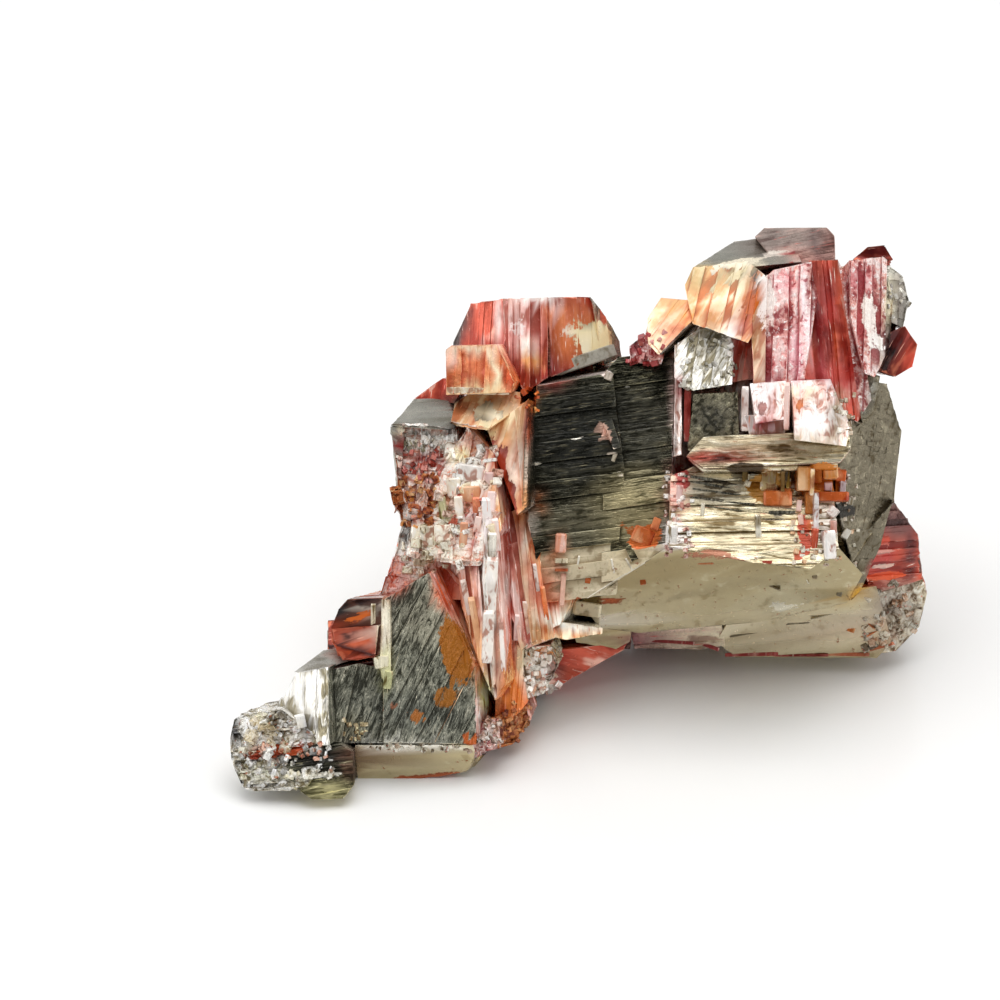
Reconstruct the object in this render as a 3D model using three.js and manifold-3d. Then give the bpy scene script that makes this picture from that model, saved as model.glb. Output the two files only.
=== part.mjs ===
// A hand specimen of pyrite: some sixty blocky crystals grown into one another, so the whole is one solid.
//
// The crystals are drawn on a layout grid square to the specimen's display face: x runs right, y runs away
// from the viewer and z runs up the face. The finished cluster is then leaned back so that it rests on its
// feet, and is set with its origin under the middle of its bounding box, +Z up, in millimetres.

import * as THREE from 'three';
import { ConvexGeometry } from 'three/addons/geometries/ConvexGeometry.js';
import { mergeVertices } from 'three/addons/utils/BufferGeometryUtils.js';
import Module from 'manifold-3d';

const wasm = await Module();
wasm.setup();

// ---- Driving sizes ----
const GRID = 0.72; // mm, one square of the layout grid; the specimen is 69 squares wide
const LEAN_BACK = 30; // degrees from the display face to the upright
const FLOOR = -20.6; // squares, height of the resting plane below the grid's origin, measured upright
const FOOTPRINT = [0.49, -0.03]; // squares, middle of the bounding box from the grid's origin, measured level
const VIEW = 500; // squares, distance of the viewing point from the display face
const VIEW_X = -8; // squares, place of the viewing point across the display face
const MERGE = 1e-4; // squares, vertices closer than this are one
const FLATNESS = 0.03; // mm, faces that differ by less than this become one

// ---- Solids ----

/** Repeatable numbers from 0 to 1, so that every build makes the same crystals. */
function dice(seed) {
  let state = seed * 7919 + 17;
  return () => {
    state = (state * 48271) % 2147483647;
    return state / 2147483647;
  };
}

/** The solid inside the convex hull of a list of [x, y, z] points. */
function hull(points) {
  const geometry = new ConvexGeometry(points.map(([x, y, z]) => new THREE.Vector3(x, y, z)));
  geometry.deleteAttribute('normal');
  geometry.deleteAttribute('uv');
  const merged = mergeVertices(geometry, MERGE);
  return new wasm.Manifold(new wasm.Mesh({
    numProp: 3,
    vertProperties: new Float32Array(merged.attributes.position.array),
    triVerts: new Uint32Array(merged.index.array),
  }));
}

/** The middle of an outline's corners. */
function middle(outline) {
  const sum = outline.reduce(([a, b], [p, q]) => [a + p, b + q], [0, 0]);
  return sum.map((v) => v / outline.length);
}

/** The part of a convex outline where its place along a direction is at least from. */
function clip(outline, angle, from) {
  const [dx, dz] = [Math.cos(angle), Math.sin(angle)];
  const place = ([x, z]) => x * dx + z * dz - from;
  const kept = [];
  outline.forEach((a, i) => {
    const b = outline[(i + 1) % outline.length];
    const [pa, pb] = [place(a), place(b)];
    if (pa >= 0) kept.push(a);
    if (pa * pb < 0) kept.push(a.map((v, k) => v + ((b[k] - v) * pa) / (pa - pb)));
  });
  return kept;
}

/**
 * A crystal given by its front outline in the display plane.
 * depth is the front's distance behind that plane, slope the rise of depth per square across x and z,
 * run the way to the back face, and shrink the back face's share of the front's size.
 */
function slab(outline, depth, { slope = [0, 0], run = [0, 10, 0], shrink = 0.9, about = middle(outline) } = {}) {
  const [cx, cz] = about;
  const front = outline.map(([x, z]) => [x, depth + slope[0] * (x - cx) + slope[1] * (z - cz), z]);
  const back = outline.map(([x, z]) => [
    cx + run[0] + (x - cx) * shrink,
    depth + run[1],
    cz + run[2] + (z - cz) * shrink,
  ]);
  return hull([...front, ...back]);
}

/**
 * Growth ridges on a crystal's front: strips of uneven width that run at an angle across the outline and
 * stand proud by up to rise. angle is measured from the x axis, in degrees.
 */
function ridges(outline, depth, { slope = [0, 0], angle = 0, count = 6, rise = 0.35, seed = 1, sink = 2 } = {}) {
  const roll = dice(seed);
  const across = THREE.MathUtils.degToRad(angle + 90);
  const places = outline.map(([x, z]) => x * Math.cos(across) + z * Math.sin(across));
  const [low, high] = [Math.min(...places), Math.max(...places)];
  const pitch = (high - low) / count;
  const made = [];
  for (let i = 0; i < count; i += 1) {
    const start = low + pitch * (i + 0.15 + 0.35 * roll());
    const width = pitch * (0.3 + 0.45 * roll());
    const proud = rise * (0.35 + 0.65 * roll());
    const strip = clip(clip(outline, across, start), across + Math.PI, -(start + width));
    if (strip.length > 2) {
      made.push(slab(strip, depth - proud, {
        slope, run: [0, sink + proud, 0], shrink: 0.98, about: middle(outline),
      }));
    }
  }
  return made;
}

/** An outline spread so that, set back by depth, it looks as it does on the display face. */
function setBack(outline, depth) {
  const spread = 1 + depth / VIEW;
  return outline.map(([x, z]) => [VIEW_X + (x - VIEW_X) * spread, z * spread]);
}

/**
 * A striated block: a tapered box of the given half sizes with growth ridges across its front.
 * turn is in degrees about x, y and z, so a block turned by 180 about z shows its ridges behind.
 */
function block(at, [wide, deep, tall], turn, { angle = 3, count = 4, rise = 0.35, seed = 1, taper = 0.94 } = {}) {
  const outline = [[-wide, -tall], [-wide, tall], [wide, tall], [wide, -tall]];
  const pieces = [
    slab(outline, -deep, { run: [0, 2 * deep, 0], shrink: taper }),
    ...ridges(outline, -deep, { angle, count, rise, seed }),
  ];
  return pieces.map((piece) => piece.rotate(turn).translate(at));
}

/** A small cube or brick of the given half sizes, turned by angles in degrees about x, y and z. */
function cube([x, y, z], [a, b, c], [tx, ty, tz]) {
  const turn = new THREE.Euler(...[tx, ty, tz].map(THREE.MathUtils.degToRad));
  const corners = [];
  for (const i of [-a, a]) {
    for (const j of [-b, b]) {
      for (const k of [-c, c]) {
        const p = new THREE.Vector3(i, j, k).applyEuler(turn);
        corners.push([x + p.x, y + p.y, z + p.z]);
      }
    }
  }
  return hull(corners);
}

/** A sprinkling of small parallel cubes through a box between two corners. */
function druse(low, high, count, size, turn, seed) {
  const roll = dice(seed);
  const made = [];
  for (let i = 0; i < count; i += 1) {
    const at = low.map((v, k) => v + (high[k] - v) * roll());
    const half = [0, 1, 2].map(() => size * (0.45 + 0.55 * roll()));
    made.push(cube(at, half, turn));
  }
  return made;
}

// ---- Crystals, in squares of the layout grid ----

/** The toe at the lower left, which carries the front of the specimen. */
function toe() {
  const left = [[-34, -21], [-29.7, -20.3], [-25.5, -23.4], [-25, -25.5], [-27, -28.4], [-33, -28.5], [-34.3, -25.7], [-34.6, -23.5]];
  const right = [[-29, -24.7], [-23.5, -23.9], [-22.3, -24.6], [-22.2, -27.8], [-23.3, -29.2], [-26.4, -29.3], [-27.3, -28.2], [-29, -27.2]];
  const white = [[-29.5, -19.6], [-28.2, -17], [-24.8, -16.3], [-24.6, -24], [-27, -24.2], [-28.5, -22.5]];
  return [
    slab(left, -10.6, { slope: [-0.15, 0.25], run: [2, 7, 1.5], shrink: 0.85 }),
    ...ridges(left, -10.6, { slope: [-0.15, 0.25], angle: 4, count: 3, rise: 0.5, seed: 3 }),
    slab(right, -11.6, { slope: [0.08, 0.12], run: [0.5, 7, 1], shrink: 0.9 }),
    slab(white, -9.6, { slope: [-0.7, 0.2], run: [3, 9, 1.5] }),
    ...druse([-33, -11.5, -27.4], [-26, -10.2, -21.4], 5, 0.9, [10, -12, 6], 11),
  ];
}

/** The dark striated crystal behind the toe, with its blade, its side block and its sloping underside. */
function foreleg() {
  const low = [[-25.4, -16.8], [-19.3, -15.4], [-10.4, -16], [-10.2, -24], [-15, -23.6], [-25, -23.8]];
  const high = [[-19.6, -9.8], [-15, -7.1], [-12.4, -12.5], [-10.3, -16.5], [-10.2, -24], [-19.5, -23.8]];
  const under = [[-22.3, -24], [-10.3, -24], [-10.4, -25.2], [-11.2, -26.8], [-14, -27.3], [-22, -28.1]];
  const side = [[-24, -10.8], [-23, -9.7], [-19.5, -9.5], [-19.5, -15.2], [-22, -15.8], [-23.5, -15.8], [-24.6, -14], [-24.7, -12.5]];
  return [
    slab(low, -9, { slope: [0.05, 0.08], run: [4, 13, 3.5], shrink: 0.9 }),
    ...ridges(low, -9, { slope: [0.05, 0.08], angle: 78, count: 3, rise: 0.3, seed: 21 }),
    slab(high, -8.8, { slope: [0.1, 0.1], run: [4, 12, 3] }),
    ...ridges(high, -8.8, { slope: [0.1, 0.1], angle: 62, count: 4, rise: 0.3, seed: 22 }),
    slab([[-19.7, -9.7], [-18.7, -9.6], [-18.6, -17.5], [-19.1, -19.2], [-19.9, -16.5]], -9.9, { slope: [-0.5, 0], run: [0.3, 4, 0] }),
    slab(under, -7.6, { slope: [0, -0.75], run: [3, 10, 1.5], shrink: 0.92 }),
    slab([[-28.4, -17], [-26, -16.9], [-21.8, -15.6], [-24.2, -14.6], [-25.4, -14.8]], -7.6, { slope: [-0.1, 1], run: [3, 8, 1] }),
    slab(side, -8.4, { slope: [-0.2, 0.25], run: [3, 11, 1] }),
    slab([[-24.6, -12.6], [-20, -12.2], [-20.2, -15.6], [-24, -15.4]], -9.2, { slope: [-0.35, -0.3], run: [1, 4, 0] }),
  ];
}

/** The long upright blades that climb from the foreleg to the middle of the specimen. */
function spine() {
  const blade = [[-12.4, -5.5], [-10, 0.5], [-8.2, -2], [-7.4, -18], [-8.5, -19.8], [-10, -16.5], [-12, -10]];
  const upper = [[-14.5, 2.5], [-11.2, 7.6], [-8.6, 4.6], [-7.8, -3], [-10, -6.5], [-15, -6], [-17.5, -5.5], [-17.2, -1]];
  const orange = [[-8.4, -14.5], [-6, -13.5], [-5.1, -20], [-6.8, -22], [-8.6, -21.5]];
  const long = [[-9.3, 6.9], [-6, 9.5], [-5.2, 10], [-5.3, -0.6], [-6.4, -1.6], [-8, 3]];
  const pillar = [[-8, -1.5], [-5.2, -0.4], [-4, -6], [-3.1, -13.8], [-6, -15], [-7.4, -10]];
  const root = [[-4.6, -2.8], [-2.8, -2.4], [-0.6, -9.8], [-2, -12.4], [-4.2, -14]];
  return [
    slab(blade, -8, { slope: [-0.45, 0.1], run: [2.5, 11, 0] }),
    ...ridges(blade, -8, { slope: [-0.45, 0.1], angle: 95, count: 3, rise: 0.5, seed: 31 }),
    slab([[-9.6, -1.5], [-8.4, -2], [-7.6, -17], [-8.8, -18.6], [-9.8, -8]], -9.3, { slope: [0.6, 0.1], run: [1.5, 6, 0] }),
    slab(upper, -6.2, { slope: [-0.25, 0.35], run: [3, 10, 0] }),
    ...ridges(upper, -6.2, { slope: [-0.25, 0.35], angle: 80, count: 3, rise: 0.7, seed: 32 }),
    slab(orange, -5.5, { slope: [0.1, 0.15], run: [2, 9, 1] }),
    slab(long, -5.6, { slope: [-0.6, 0.25], run: [2.5, 9, 0] }),
    slab([[-6.6, 8.9], [-5.1, 10.1], [-5.2, -0.5], [-5.9, -1.2]], -6.4, { slope: [0.5, 0.2], run: [1, 6, 0] }),
    slab(pillar, -4.6, { slope: [-0.2, 0.2], run: [3, 10, 0] }),
    ...ridges(pillar, -4.6, { slope: [-0.2, 0.2], angle: 98, count: 2, rise: 0.5, seed: 33 }),
    slab(root, -3.6, { slope: [0.3, 0.1], run: [2, 9, 0] }),
    slab([[-3.6, -11.9], [2.2, -12.7], [2.2, -13.3], [-1.5, -13.9], [-3.6, -13.4]], -3.8, { slope: [0, 0.5], run: [0, 8, 0.4] }),
    slab([[-10.2, -21.5], [-8.1, -21.2], [-7.9, -24.4], [-10, -24.8]], -8.2, { slope: [-0.2, 0.3], run: [2, 6, 1] }),
    slab([[-8.6, -20.5], [-5.6, -19.9], [-4.9, -22], [-6.4, -24.4], [-8.4, -24.9]], -4.6, { slope: [0.3, -0.2], run: [1, 7, 1.5] }),
    slab([[-5.5, -14.6], [-3, -14.4], [-1.9, -16.4], [-3.5, -19.4], [-5.3, -19.8]], -3.5, { slope: [0.35, -0.1], run: [1, 8, 1] }),
    ...druse([-17, -6.8, -6], [-12, -5, 4], 7, 0.85, [6, 10, -8], 35),
  ];
}

/** The shouldered crystals on the left flank. */
function flank() {
  const face = [[-19, 7.3], [-12.2, 7], [-12, -2], [-16.5, -2.6], [-18, -2.4]];
  const wall = [[-17.8, -2], [-10.5, -1.5], [-10.5, -10], [-20, -9.6], [-19.4, -7.4]];
  return [
    slab(face, -3.2, { slope: [-0.15, 0.1], run: [2.6, 10, 3], shrink: 0.95 }),
    ...ridges(face, -3.2, { slope: [-0.15, 0.1], angle: 85, count: 3, rise: 0.4, seed: 41 }),
    slab(wall, -4.6, { slope: [-0.3, 0.1], run: [3, 11, 0] }),
    ...druse([-18.4, -4.2, -2], [-14, -3, 4.5], 6, 0.9, [8, -14, 10], 43),
    slab([[-19, 7.3], [-16.6, 10.2], [-13.4, 10.3], [-12.2, 8.2], [-12.4, 6.8]], -1.6, { slope: [-0.1, 1.3], run: [2.4, 9, 0.5] }),
    slab([[-16.6, 10.2], [-13.7, 12.3], [-11, 12], [-12.6, 9.6]], 0.4, { slope: [-0.3, 0.3], run: [1, 9, 0.5] }),
    slab([[-13, 7.4], [-12.6, 9.6], [-10.6, 11], [-5.9, 10.8], [-5.9, 9.2], [-9.4, 6.8]], -3.9, { slope: [0.05, 0.95], run: [1, 8, 0] }),
  ];
}

/** The two blocks on the crown's left: a tall one with four upright faces, and a low one. */
function leftCrown() {
  const small = [[-13.5, 14.9], [-12.8, 15.4], [-8.3, 15.5], [-6.5, 11.6], [-6.9, 10.6], [-13.4, 10.3]];
  return [
    slab([[-11, 19.8], [-7.6, 20.2], [-7, 10.6], [-13, 10.6], [-12.8, 15.8]], 0.6, { slope: [-0.75, 0.12], run: [2, 11, 0.2], about: [-9, 15] }),
    slab([[-7.8, 20.2], [-3.2, 20.3], [-2.9, 12.4], [-5.6, 10.6], [-7.6, 14]], -1.1, { slope: [-0.2, 0.16], run: [0.5, 13, -0.4], about: [-5, 15] }),
    slab([[-3.3, 20.3], [1, 20.4], [2.7, 18.4], [3.2, 14.8], [-3, 12.2]], -0.7, { slope: [0.28, 0.1], run: [-0.4, 13, -0.4], about: [-1, 16] }),
    slab([[1, 20.4], [2.7, 18.4], [4.1, 16], [4.3, 14.4], [2.4, 13.4]], 1, { slope: [1.3, 0.1], run: [-1.6, 10, -0.2], about: [2.6, 17] }),
    ...ridges([[-7.8, 20.2], [-3.2, 20.3], [-2.9, 12.4], [-5.6, 10.6], [-7.6, 14]], -1.3, { slope: [-0.2, 0.16], angle: 90, count: 3, rise: 0.4, seed: 51 }),
    slab(small, -4.3, { slope: [-0.1, 0.25], run: [2, 9, 0.5] }),
    ...ridges(small, -4.3, { slope: [-0.1, 0.25], angle: 88, count: 2, rise: 0.35, seed: 52 }),
  ];
}

/** The big dark striated block in the middle. */
function heart() {
  const left = [[-4.4, 11.4], [3.2, 12.7], [4.4, 3], [3.6, -9.4], [-3.6, -10.2], [-5.3, -2]];
  const right = [[2.4, 12.7], [3.9, 14.4], [9.3, 14.2], [9.2, 2.5], [8.8, -4.6], [2, -9.2], [2.2, 2]];
  return [
    slab(left, -3.6, { slope: [0.04, 0.1], run: [1.2, 17, 2.6], shrink: 0.98 }),
    ...ridges(left, -3.6, { slope: [0.04, 0.1], angle: 7, count: 5, rise: 0.4, seed: 61 }),
    slab(right, -3.1, { slope: [-0.08, 0.12], run: [0, 17, 0] }),
    ...ridges(right, -3.1, { slope: [-0.08, 0.12], angle: 8, count: 4, rise: 0.35, seed: 62 }),
    slab([[2.2, 7.6], [3.1, 8.2], [4, 5.2], [3.2, 5]], -4.7, { slope: [-0.4, 0.3], run: [0.2, 3, 0] }),
    slab([[4.3, -4.7], [8.5, -1.9], [8.6, -4.6], [5, -6.2]], -3.9, { slope: [0.2, 0.3], run: [0, 4, 0] }),
  ];
}

/** The jutting right-hand mass: silver block, ledge, cubes, cream striated front and olive underside. */
function bow() {
  const silver = [[9.2, 15.4], [11.7, 17], [14.3, 17.2], [15.2, 15.6], [15, 11.4], [11, 10.7], [9.2, 12]];
  const dark = [[11, 10.6], [15.6, 10.8], [15.8, 5], [12, 4.2], [10.4, 5]];
  const cream = [[8.8, 2.4], [11.2, 3.4], [18, 3.9], [25, 3.4], [25.4, -4.8], [22.5, -6.8], [17, -6.2], [12, -4.9], [8.5, -4.6]];
  const olive = [[-0.2, -10.3], [8.6, -4.6], [25.4, -4.4], [28.3, -7.4], [26.9, -10.3], [18, -12.3], [6, -13.4], [2, -12.9]];
  const side = [[29.2, 11.9], [30.6, 11.6], [32.1, 7], [31.4, 5.4], [31.4, 0], [27, -6.4], [25.2, 0], [25.5, 7]];
  return [
    slab(silver, -4.8, { slope: [0.05, 0.4], run: [0.5, 10, 0] }),
    ...ridges(silver, -4.8, { slope: [0.05, 0.4], angle: 80, count: 3, rise: 0.4, seed: 71 }),
    slab([[9.2, 12.4], [10, 12.6], [10, 4.4], [9.1, 4.2]], -5.4, { slope: [-0.4, 0.1], run: [0.4, 6, 0] }),
    slab(dark, -6.2, { slope: [0.05, 0.05], run: [0.4, 9, 0] }),
    slab([[10.2, 4.3], [12, 6.3], [25.5, 6.3], [26.5, 6.9], [26.6, 5], [25.5, 3.6], [12, 3]], -8, { slope: [0.02, 0.15], run: [0, 10, -0.4] }),
    slab([[10.4, 4.1], [25.6, 4.2], [25.2, 2.9], [12, 2.7]], -7.4, { slope: [0, -0.6], run: [0, 9, -0.4] }),
    slab([[16.6, 11.5], [20.2, 11.8], [20.3, 7.9], [17, 7.4]], -8.3, { slope: [-0.1, 0.4], run: [0, 7, 0] }),
    slab([[16, 8.4], [20.6, 8.4], [20, 6.2], [16.6, 6.2]], -7.6, { slope: [0, -0.1], run: [0, 7, 0] }),
    slab([[20.6, 11.8], [24.6, 12], [26.5, 7.2], [26, 5.2], [20.8, 5.8]], -8.8, { slope: [0.12, 0.42], run: [0, 8, 0] }),
    slab(cream, -7, { slope: [0.06, 0.5], run: [0, 12, 0] }),
    ...ridges(cream, -7, { slope: [0.06, 0.5], angle: 1, count: 4, rise: 0.45, seed: 74 }),
    ...druse([17, -6.6, 0.6], [25, -5.4, 3.4], 7, 0.9, [5, 4, 0], 75),
    slab(olive, -0.8, { slope: [0.06, -1.0], run: [1, 14, 2], about: [14, -9] }),
    slab(side, -2.8, { slope: [0.55, -0.15], run: [-1.5, 14, 0] }),
    slab([[26.5, -5.4], [31.3, 0.1], [30.2, -4.5], [28.3, -9], [27, -10.3], [25.6, -8]], -0.6, { slope: [0.5, -0.5], run: [-1, 14, 1] }),
  ];
}

/** The pink and red prisms of the upper right, with the yellow fan beside them. */
function rightCrown() {
  const pinkLeft = [[17.5, 21.5], [19, 22.8], [22.8, 23.6], [23.4, 20], [22, 11.4], [17, 11.4], [16.8, 17]];
  const redMiddle = [[22.6, 23.8], [25.6, 23.9], [26.6, 22], [29, 10], [27.5, 7.6], [25, 9], [22, 11.4]];
  const pinkRight = [[26.5, 23.8], [30.5, 24.3], [31.1, 20], [30.6, 15], [29, 12], [28, 12.4], [26.6, 18]];
  const fan = [[10.3, 21.4], [11.2, 23.2], [16.6, 23.8], [18.4, 22.4], [17.5, 17], [16.5, 15.5], [11, 17.4]];
  return [
    slab(pinkLeft, -5.6, { slope: [-0.3, 0.15], run: [1.5, 12, 1] }),
    ...ridges(pinkLeft, -5.6, { slope: [-0.3, 0.15], angle: 88, count: 3, rise: 0.5, seed: 81 }),
    slab(redMiddle, -4.6, { slope: [0.25, 0.1], run: [0.5, 12, 0] }),
    slab(pinkRight, -4.9, { slope: [0.3, 0.15], run: [-0.5, 12, 0] }),
    ...ridges(pinkRight, -4.9, { slope: [0.3, 0.15], angle: 88, count: 3, rise: 0.4, seed: 83 }),
    slab([[6.5, 18], [8, 20.2], [12, 19.8], [11.5, 18.2], [7.6, 14.2], [6.5, 15.5]], -4.6, { slope: [-0.1, 0.5], run: [1.5, 7, 0] }),
    slab([[4.6, 15.4], [6.8, 17], [8.6, 15], [8, 13.4], [4.8, 13.6]], -3.2, { slope: [-0.3, 0.2], run: [1, 7, 0] }),
    slab(fan, -3.8, { slope: [0.02, 0.45], run: [0.8, 10, 0.5] }),
    ...ridges(fan, -3.8, { slope: [0.02, 0.45], angle: 76, count: 3, rise: 0.4, seed: 84 }),
    slab([[14, 17.6], [16.8, 17.4], [17.4, 12], [15, 11.6]], -3.4, { slope: [0.3, 0], run: [0, 8, 0] }),
    slab([[11.2, 23.2], [15.5, 26], [21, 26.8], [22.2, 23.8], [16.5, 23.2]], 0.6, { slope: [0.05, 1.3], run: [1, 9, -1] }),
    slab([[17.5, 26.4], [18.5, 27.3], [24.8, 27.4], [25.6, 26.5], [25.6, 23.6], [20, 23.2]], 1.2, { slope: [0.05, 0.3], run: [0.6, 8, -0.6] }),
    slab([[27.1, 24.1], [28.6, 25.3], [30.5, 25.5], [31.4, 24], [30.8, 23], [27.4, 23]], -1, { slope: [0.1, 0.2], run: [0.4, 8, -1] }),
    slab([[30.4, 24], [32.5, 22.5], [33.2, 20], [32.5, 17], [30.4, 18]], -0.8, { slope: [0.5, 0.1], run: [-0.5, 9, 0] }),
    slab([[30.2, 16.5], [32.4, 17.4], [33.7, 15.5], [33.2, 13.2], [31.5, 12.2], [29.8, 12.8]], -1.4, { slope: [0.2, -0.1], run: [-1, 8, 0], shrink: 0.8 }),
    slab([[28.6, 12.8], [30, 12.4], [29.2, 8.8], [27.8, 7.4], [27.6, 9]], -4, { slope: [0.4, 0.3], run: [0, 7, 0] }),
  ];
}

/** The mass that the front crystals grow from. */
function middleMass() {
  const upper = [[-8, 9], [10, 13], [27, 14], [29, -4], [24, -7.5], [2, -9.5], [-12, -8]];
  const lower = [[-18, -8], [-6, -4], [-3, -13], [-10, -20], [-18, -20]];
  return [
    slab(upper, -0.5, { run: [0, 12, -1], shrink: 0.9 }),
    slab(lower, -4, { run: [6, 14, 5], shrink: 0.85 }),
  ];
}

/** The heel under the right-hand mass, which carries the rear of the specimen, with its rough right end. */
function heel() {
  const sole = setBack([[13.6, -14.2], [15.6, -15.8], [30, -15.9], [31.4, -14.2], [29.5, -8.5], [16, -10]], 7);
  const tail = setBack([[29.4, -15.7], [31.8, -15.3], [34.2, -12.8], [34.9, -9.4], [33.6, -5.6], [28, -6]], 8);
  const shoulder = setBack([[29.6, -1.4], [31.5, -0.2], [33.9, -3.4], [34.5, -8], [29, -9.6], [28, -6]], 6);
  const strip = setBack([[5, -13], [5.4, -14.9], [12, -15], [14.6, -14.6], [14.2, -12.4]], 7);
  const corner = setBack([[-1.2, -12], [5, -13], [5, -14.2], [3.6, -14.9], [-0.4, -14.2]], 5);
  const wedge = setBack([[-3.6, -15], [4.8, -14.2], [4.4, -15], [0.2, -16.4], [-1.6, -18], [-3.4, -19.4]], 6);
  return [
    slab(sole, 6.4, { slope: [0.04, -0.75], run: [-2.5, 16, 3.6], shrink: 0.94, about: [22, -12.6] }),
    slab(tail, 8, { slope: [0.35, -0.45], run: [-2.5, 12, 3.4], shrink: 0.86 }),
    slab(shoulder, 5.4, { slope: [0.4, -0.2], run: [-2, 12, 2] }),
    ...ridges(shoulder, 5.4, { slope: [0.4, -0.2], angle: 3, count: 4, rise: 0.6, seed: 92 }),
    slab(strip, 7.2, { slope: [0, -0.5], run: [0, 12, 2.4] }),
    slab(corner, 3.6, { slope: [0.1, -0.8], run: [1, 12, 2] }),
    slab(wedge, 4.6, { slope: [0.2, -0.4], run: [-1, 9, 2.4] }),
    ...druse([30, 9, -13], [34.6, 16, -6], 5, 1.5, [12, 25, 8], 93),
    ...block([20, 15, -6.6], [9.5, 5.5, 6], [24, 3, 176], { angle: 2, count: 3, rise: 0.4, seed: 94 }),
    ...block([26.4, 13, -4.4], [4.4, 6, 4.8], [14, -8, 196], { angle: 88, count: 3, rise: 0.4, seed: 95 }),
  ];
}

/** The rear left foot, behind the long blades. */
function rearFoot() {
  return [
    ...block([-6.6, 12.4, -9.6], [4.9, 7.2, 5.6], [22, -6, 171], { angle: 85, count: 2, rise: 0.4, seed: 101 }),
    ...block([-11, 7.4, -13.2], [4.6, 6, 5], [30, 12, 192], { angle: 4, count: 2, rise: 0.4, seed: 102 }),
    ...block([1.4, 11.4, -8.2], [4.6, 5.2, 4.8], [34, -4, 184], { angle: 2, count: 3, rise: 0.35, seed: 103 }),
    ...block([-19.6, 1.6, -18.2], [5.4, 5.6, 4.6], [32, 4, 176], { angle: 88, count: 3, rise: 0.35, seed: 104 }),
    ...block([-26.8, -4.2, -24.2], [4.2, 3.8, 3.1], [26, -10, 188], { angle: 3, count: 2, rise: 0.3, seed: 105 }),
    ...druse([-17, 6, -15], [-9, 11, -8], 6, 1.5, [38, 10, 20], 106),
  ];
}

/** The blocks of the back, stepped from the left flank up to the crown. */
function back() {
  return [
    ...block([3.6, 9.4, 3.4], [8.6, 6.6, 7.2], [12, 3, 183], { angle: 3, count: 4, rise: 0.45, seed: 111 }),
    ...block([-8, 6.4, 1.4], [5.4, 6, 6.4], [18, -8, 170], { angle: 86, count: 3, rise: 0.4, seed: 112 }),
    ...block([-3.6, 8.6, 11.6], [6.2, 5.4, 5], [6, 8, 174], { angle: 2, count: 3, rise: 0.4, seed: 113 }),
    ...block([15, 11.4, 3.4], [5.4, 6.4, 6.8], [22, -5, 190], { angle: 88, count: 3, rise: 0.4, seed: 114 }),
    ...block([24, 9.6, 6.6], [6, 6.4, 6], [16, 10, 172], { angle: 4, count: 3, rise: 0.4, seed: 115 }),
    ...block([12.4, 9, 12.8], [6, 5.6, 4.8], [8, -12, 182], { angle: 3, count: 2, rise: 0.35, seed: 116 }),
    ...block([22.6, 9, 17.2], [7, 5.8, 6.2], [4, 3, 178], { angle: 87, count: 4, rise: 0.45, seed: 117 }),
    ...block([27.4, 7, 17.6], [3.4, 5, 4.6], [10, -10, 196], { angle: 3, count: 2, rise: 0.35, seed: 118 }),
    ...block([-14.4, 3, 2.8], [3.6, 5, 4], [26, 6, 184], { angle: 4, count: 2, rise: 0.35, seed: 119 }),
    ...block([8.4, 14.6, 0.4], [3.4, 3, 3.2], [30, 22, 205], { angle: 4, count: 3, rise: 0.3, seed: 120 }),
    ...block([19.4, 15.6, 9.4], [3.2, 2.8, 3], [38, -14, 160], { angle: 86, count: 3, rise: 0.3, seed: 121 }),
    ...druse([-9, 12, -1], [-3, 14.5, 8], 6, 1.5, [20, 15, -10], 122),
    ...druse([10, 13, 8], [27, 16, 15], 6, 1.7, [14, -20, 12], 123),
  ];
}

// ---- Assembly ----

/** Joins every crystal, leans the cluster back, trims it at the resting plane and sets its origin. */
function specimen() {
  const crystals = [
    toe(), foreleg(), spine(), flank(), leftCrown(), heart(), bow(), rightCrown(), middleMass(), heel(), rearFoot(), back(),
  ].flat();
  const reach = 80; // squares, larger than the specimen
  const above = hull([-reach, reach].flatMap((x) => [-reach, reach].flatMap((y) => [[x, y, FLOOR], [x, y, reach]])));
  const standing = wasm.Manifold.union(crystals).rotate([-LEAN_BACK, 0, 0]).intersect(above);
  const placed = standing.translate([-FOOTPRINT[0], -FOOTPRINT[1], -FLOOR]).scale(GRID).simplify(FLATNESS);
  // Hollows sealed between crystals are separate inside-out shells, so the largest shell is the filled solid.
  const [whole] = placed.decompose().sort((a, b) => b.volume() - a.volume());
  return whole;
}

const { vertProperties, triVerts } = specimen().getMesh();
const geometry = new THREE.BufferGeometry();
geometry.setAttribute('position', new THREE.BufferAttribute(vertProperties, 3));
geometry.setIndex(new THREE.BufferAttribute(triVerts, 1));
geometry.computeVertexNormals();

const pyrite = new THREE.Mesh(
  geometry,
  new THREE.MeshStandardMaterial({ color: 0x8f8670, roughness: 0.28, metalness: 1, flatShading: true }),
);
pyrite.name = 'pyrite_cluster';

const group = new THREE.Group();
group.add(pyrite);

export default group;
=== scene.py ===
"""Looks of a tarnished pyrite specimen: striated crystal faces, mineral grains, studio and camera.

Lengths are millimetres until a mesh is made, when they become metres. Two frames are used: the row
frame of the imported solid, +Z up, and the display frame, which is the row frame leaned forward so that
x runs right, y runs away from the viewer and z runs up the specimen's display face. Places on the
display face are given in squares of the layout grid that the crystals were drawn on.
"""

import logging
from dataclasses import dataclass
from enum import Enum
from functools import partial
from math import cos, radians, sin

import bpy
import numpy as np
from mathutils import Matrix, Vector
from mathutils.bvhtree import BVHTree
from mathutils.geometry import delaunay_2d_cdt
from numpy.typing import NDArray


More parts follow.
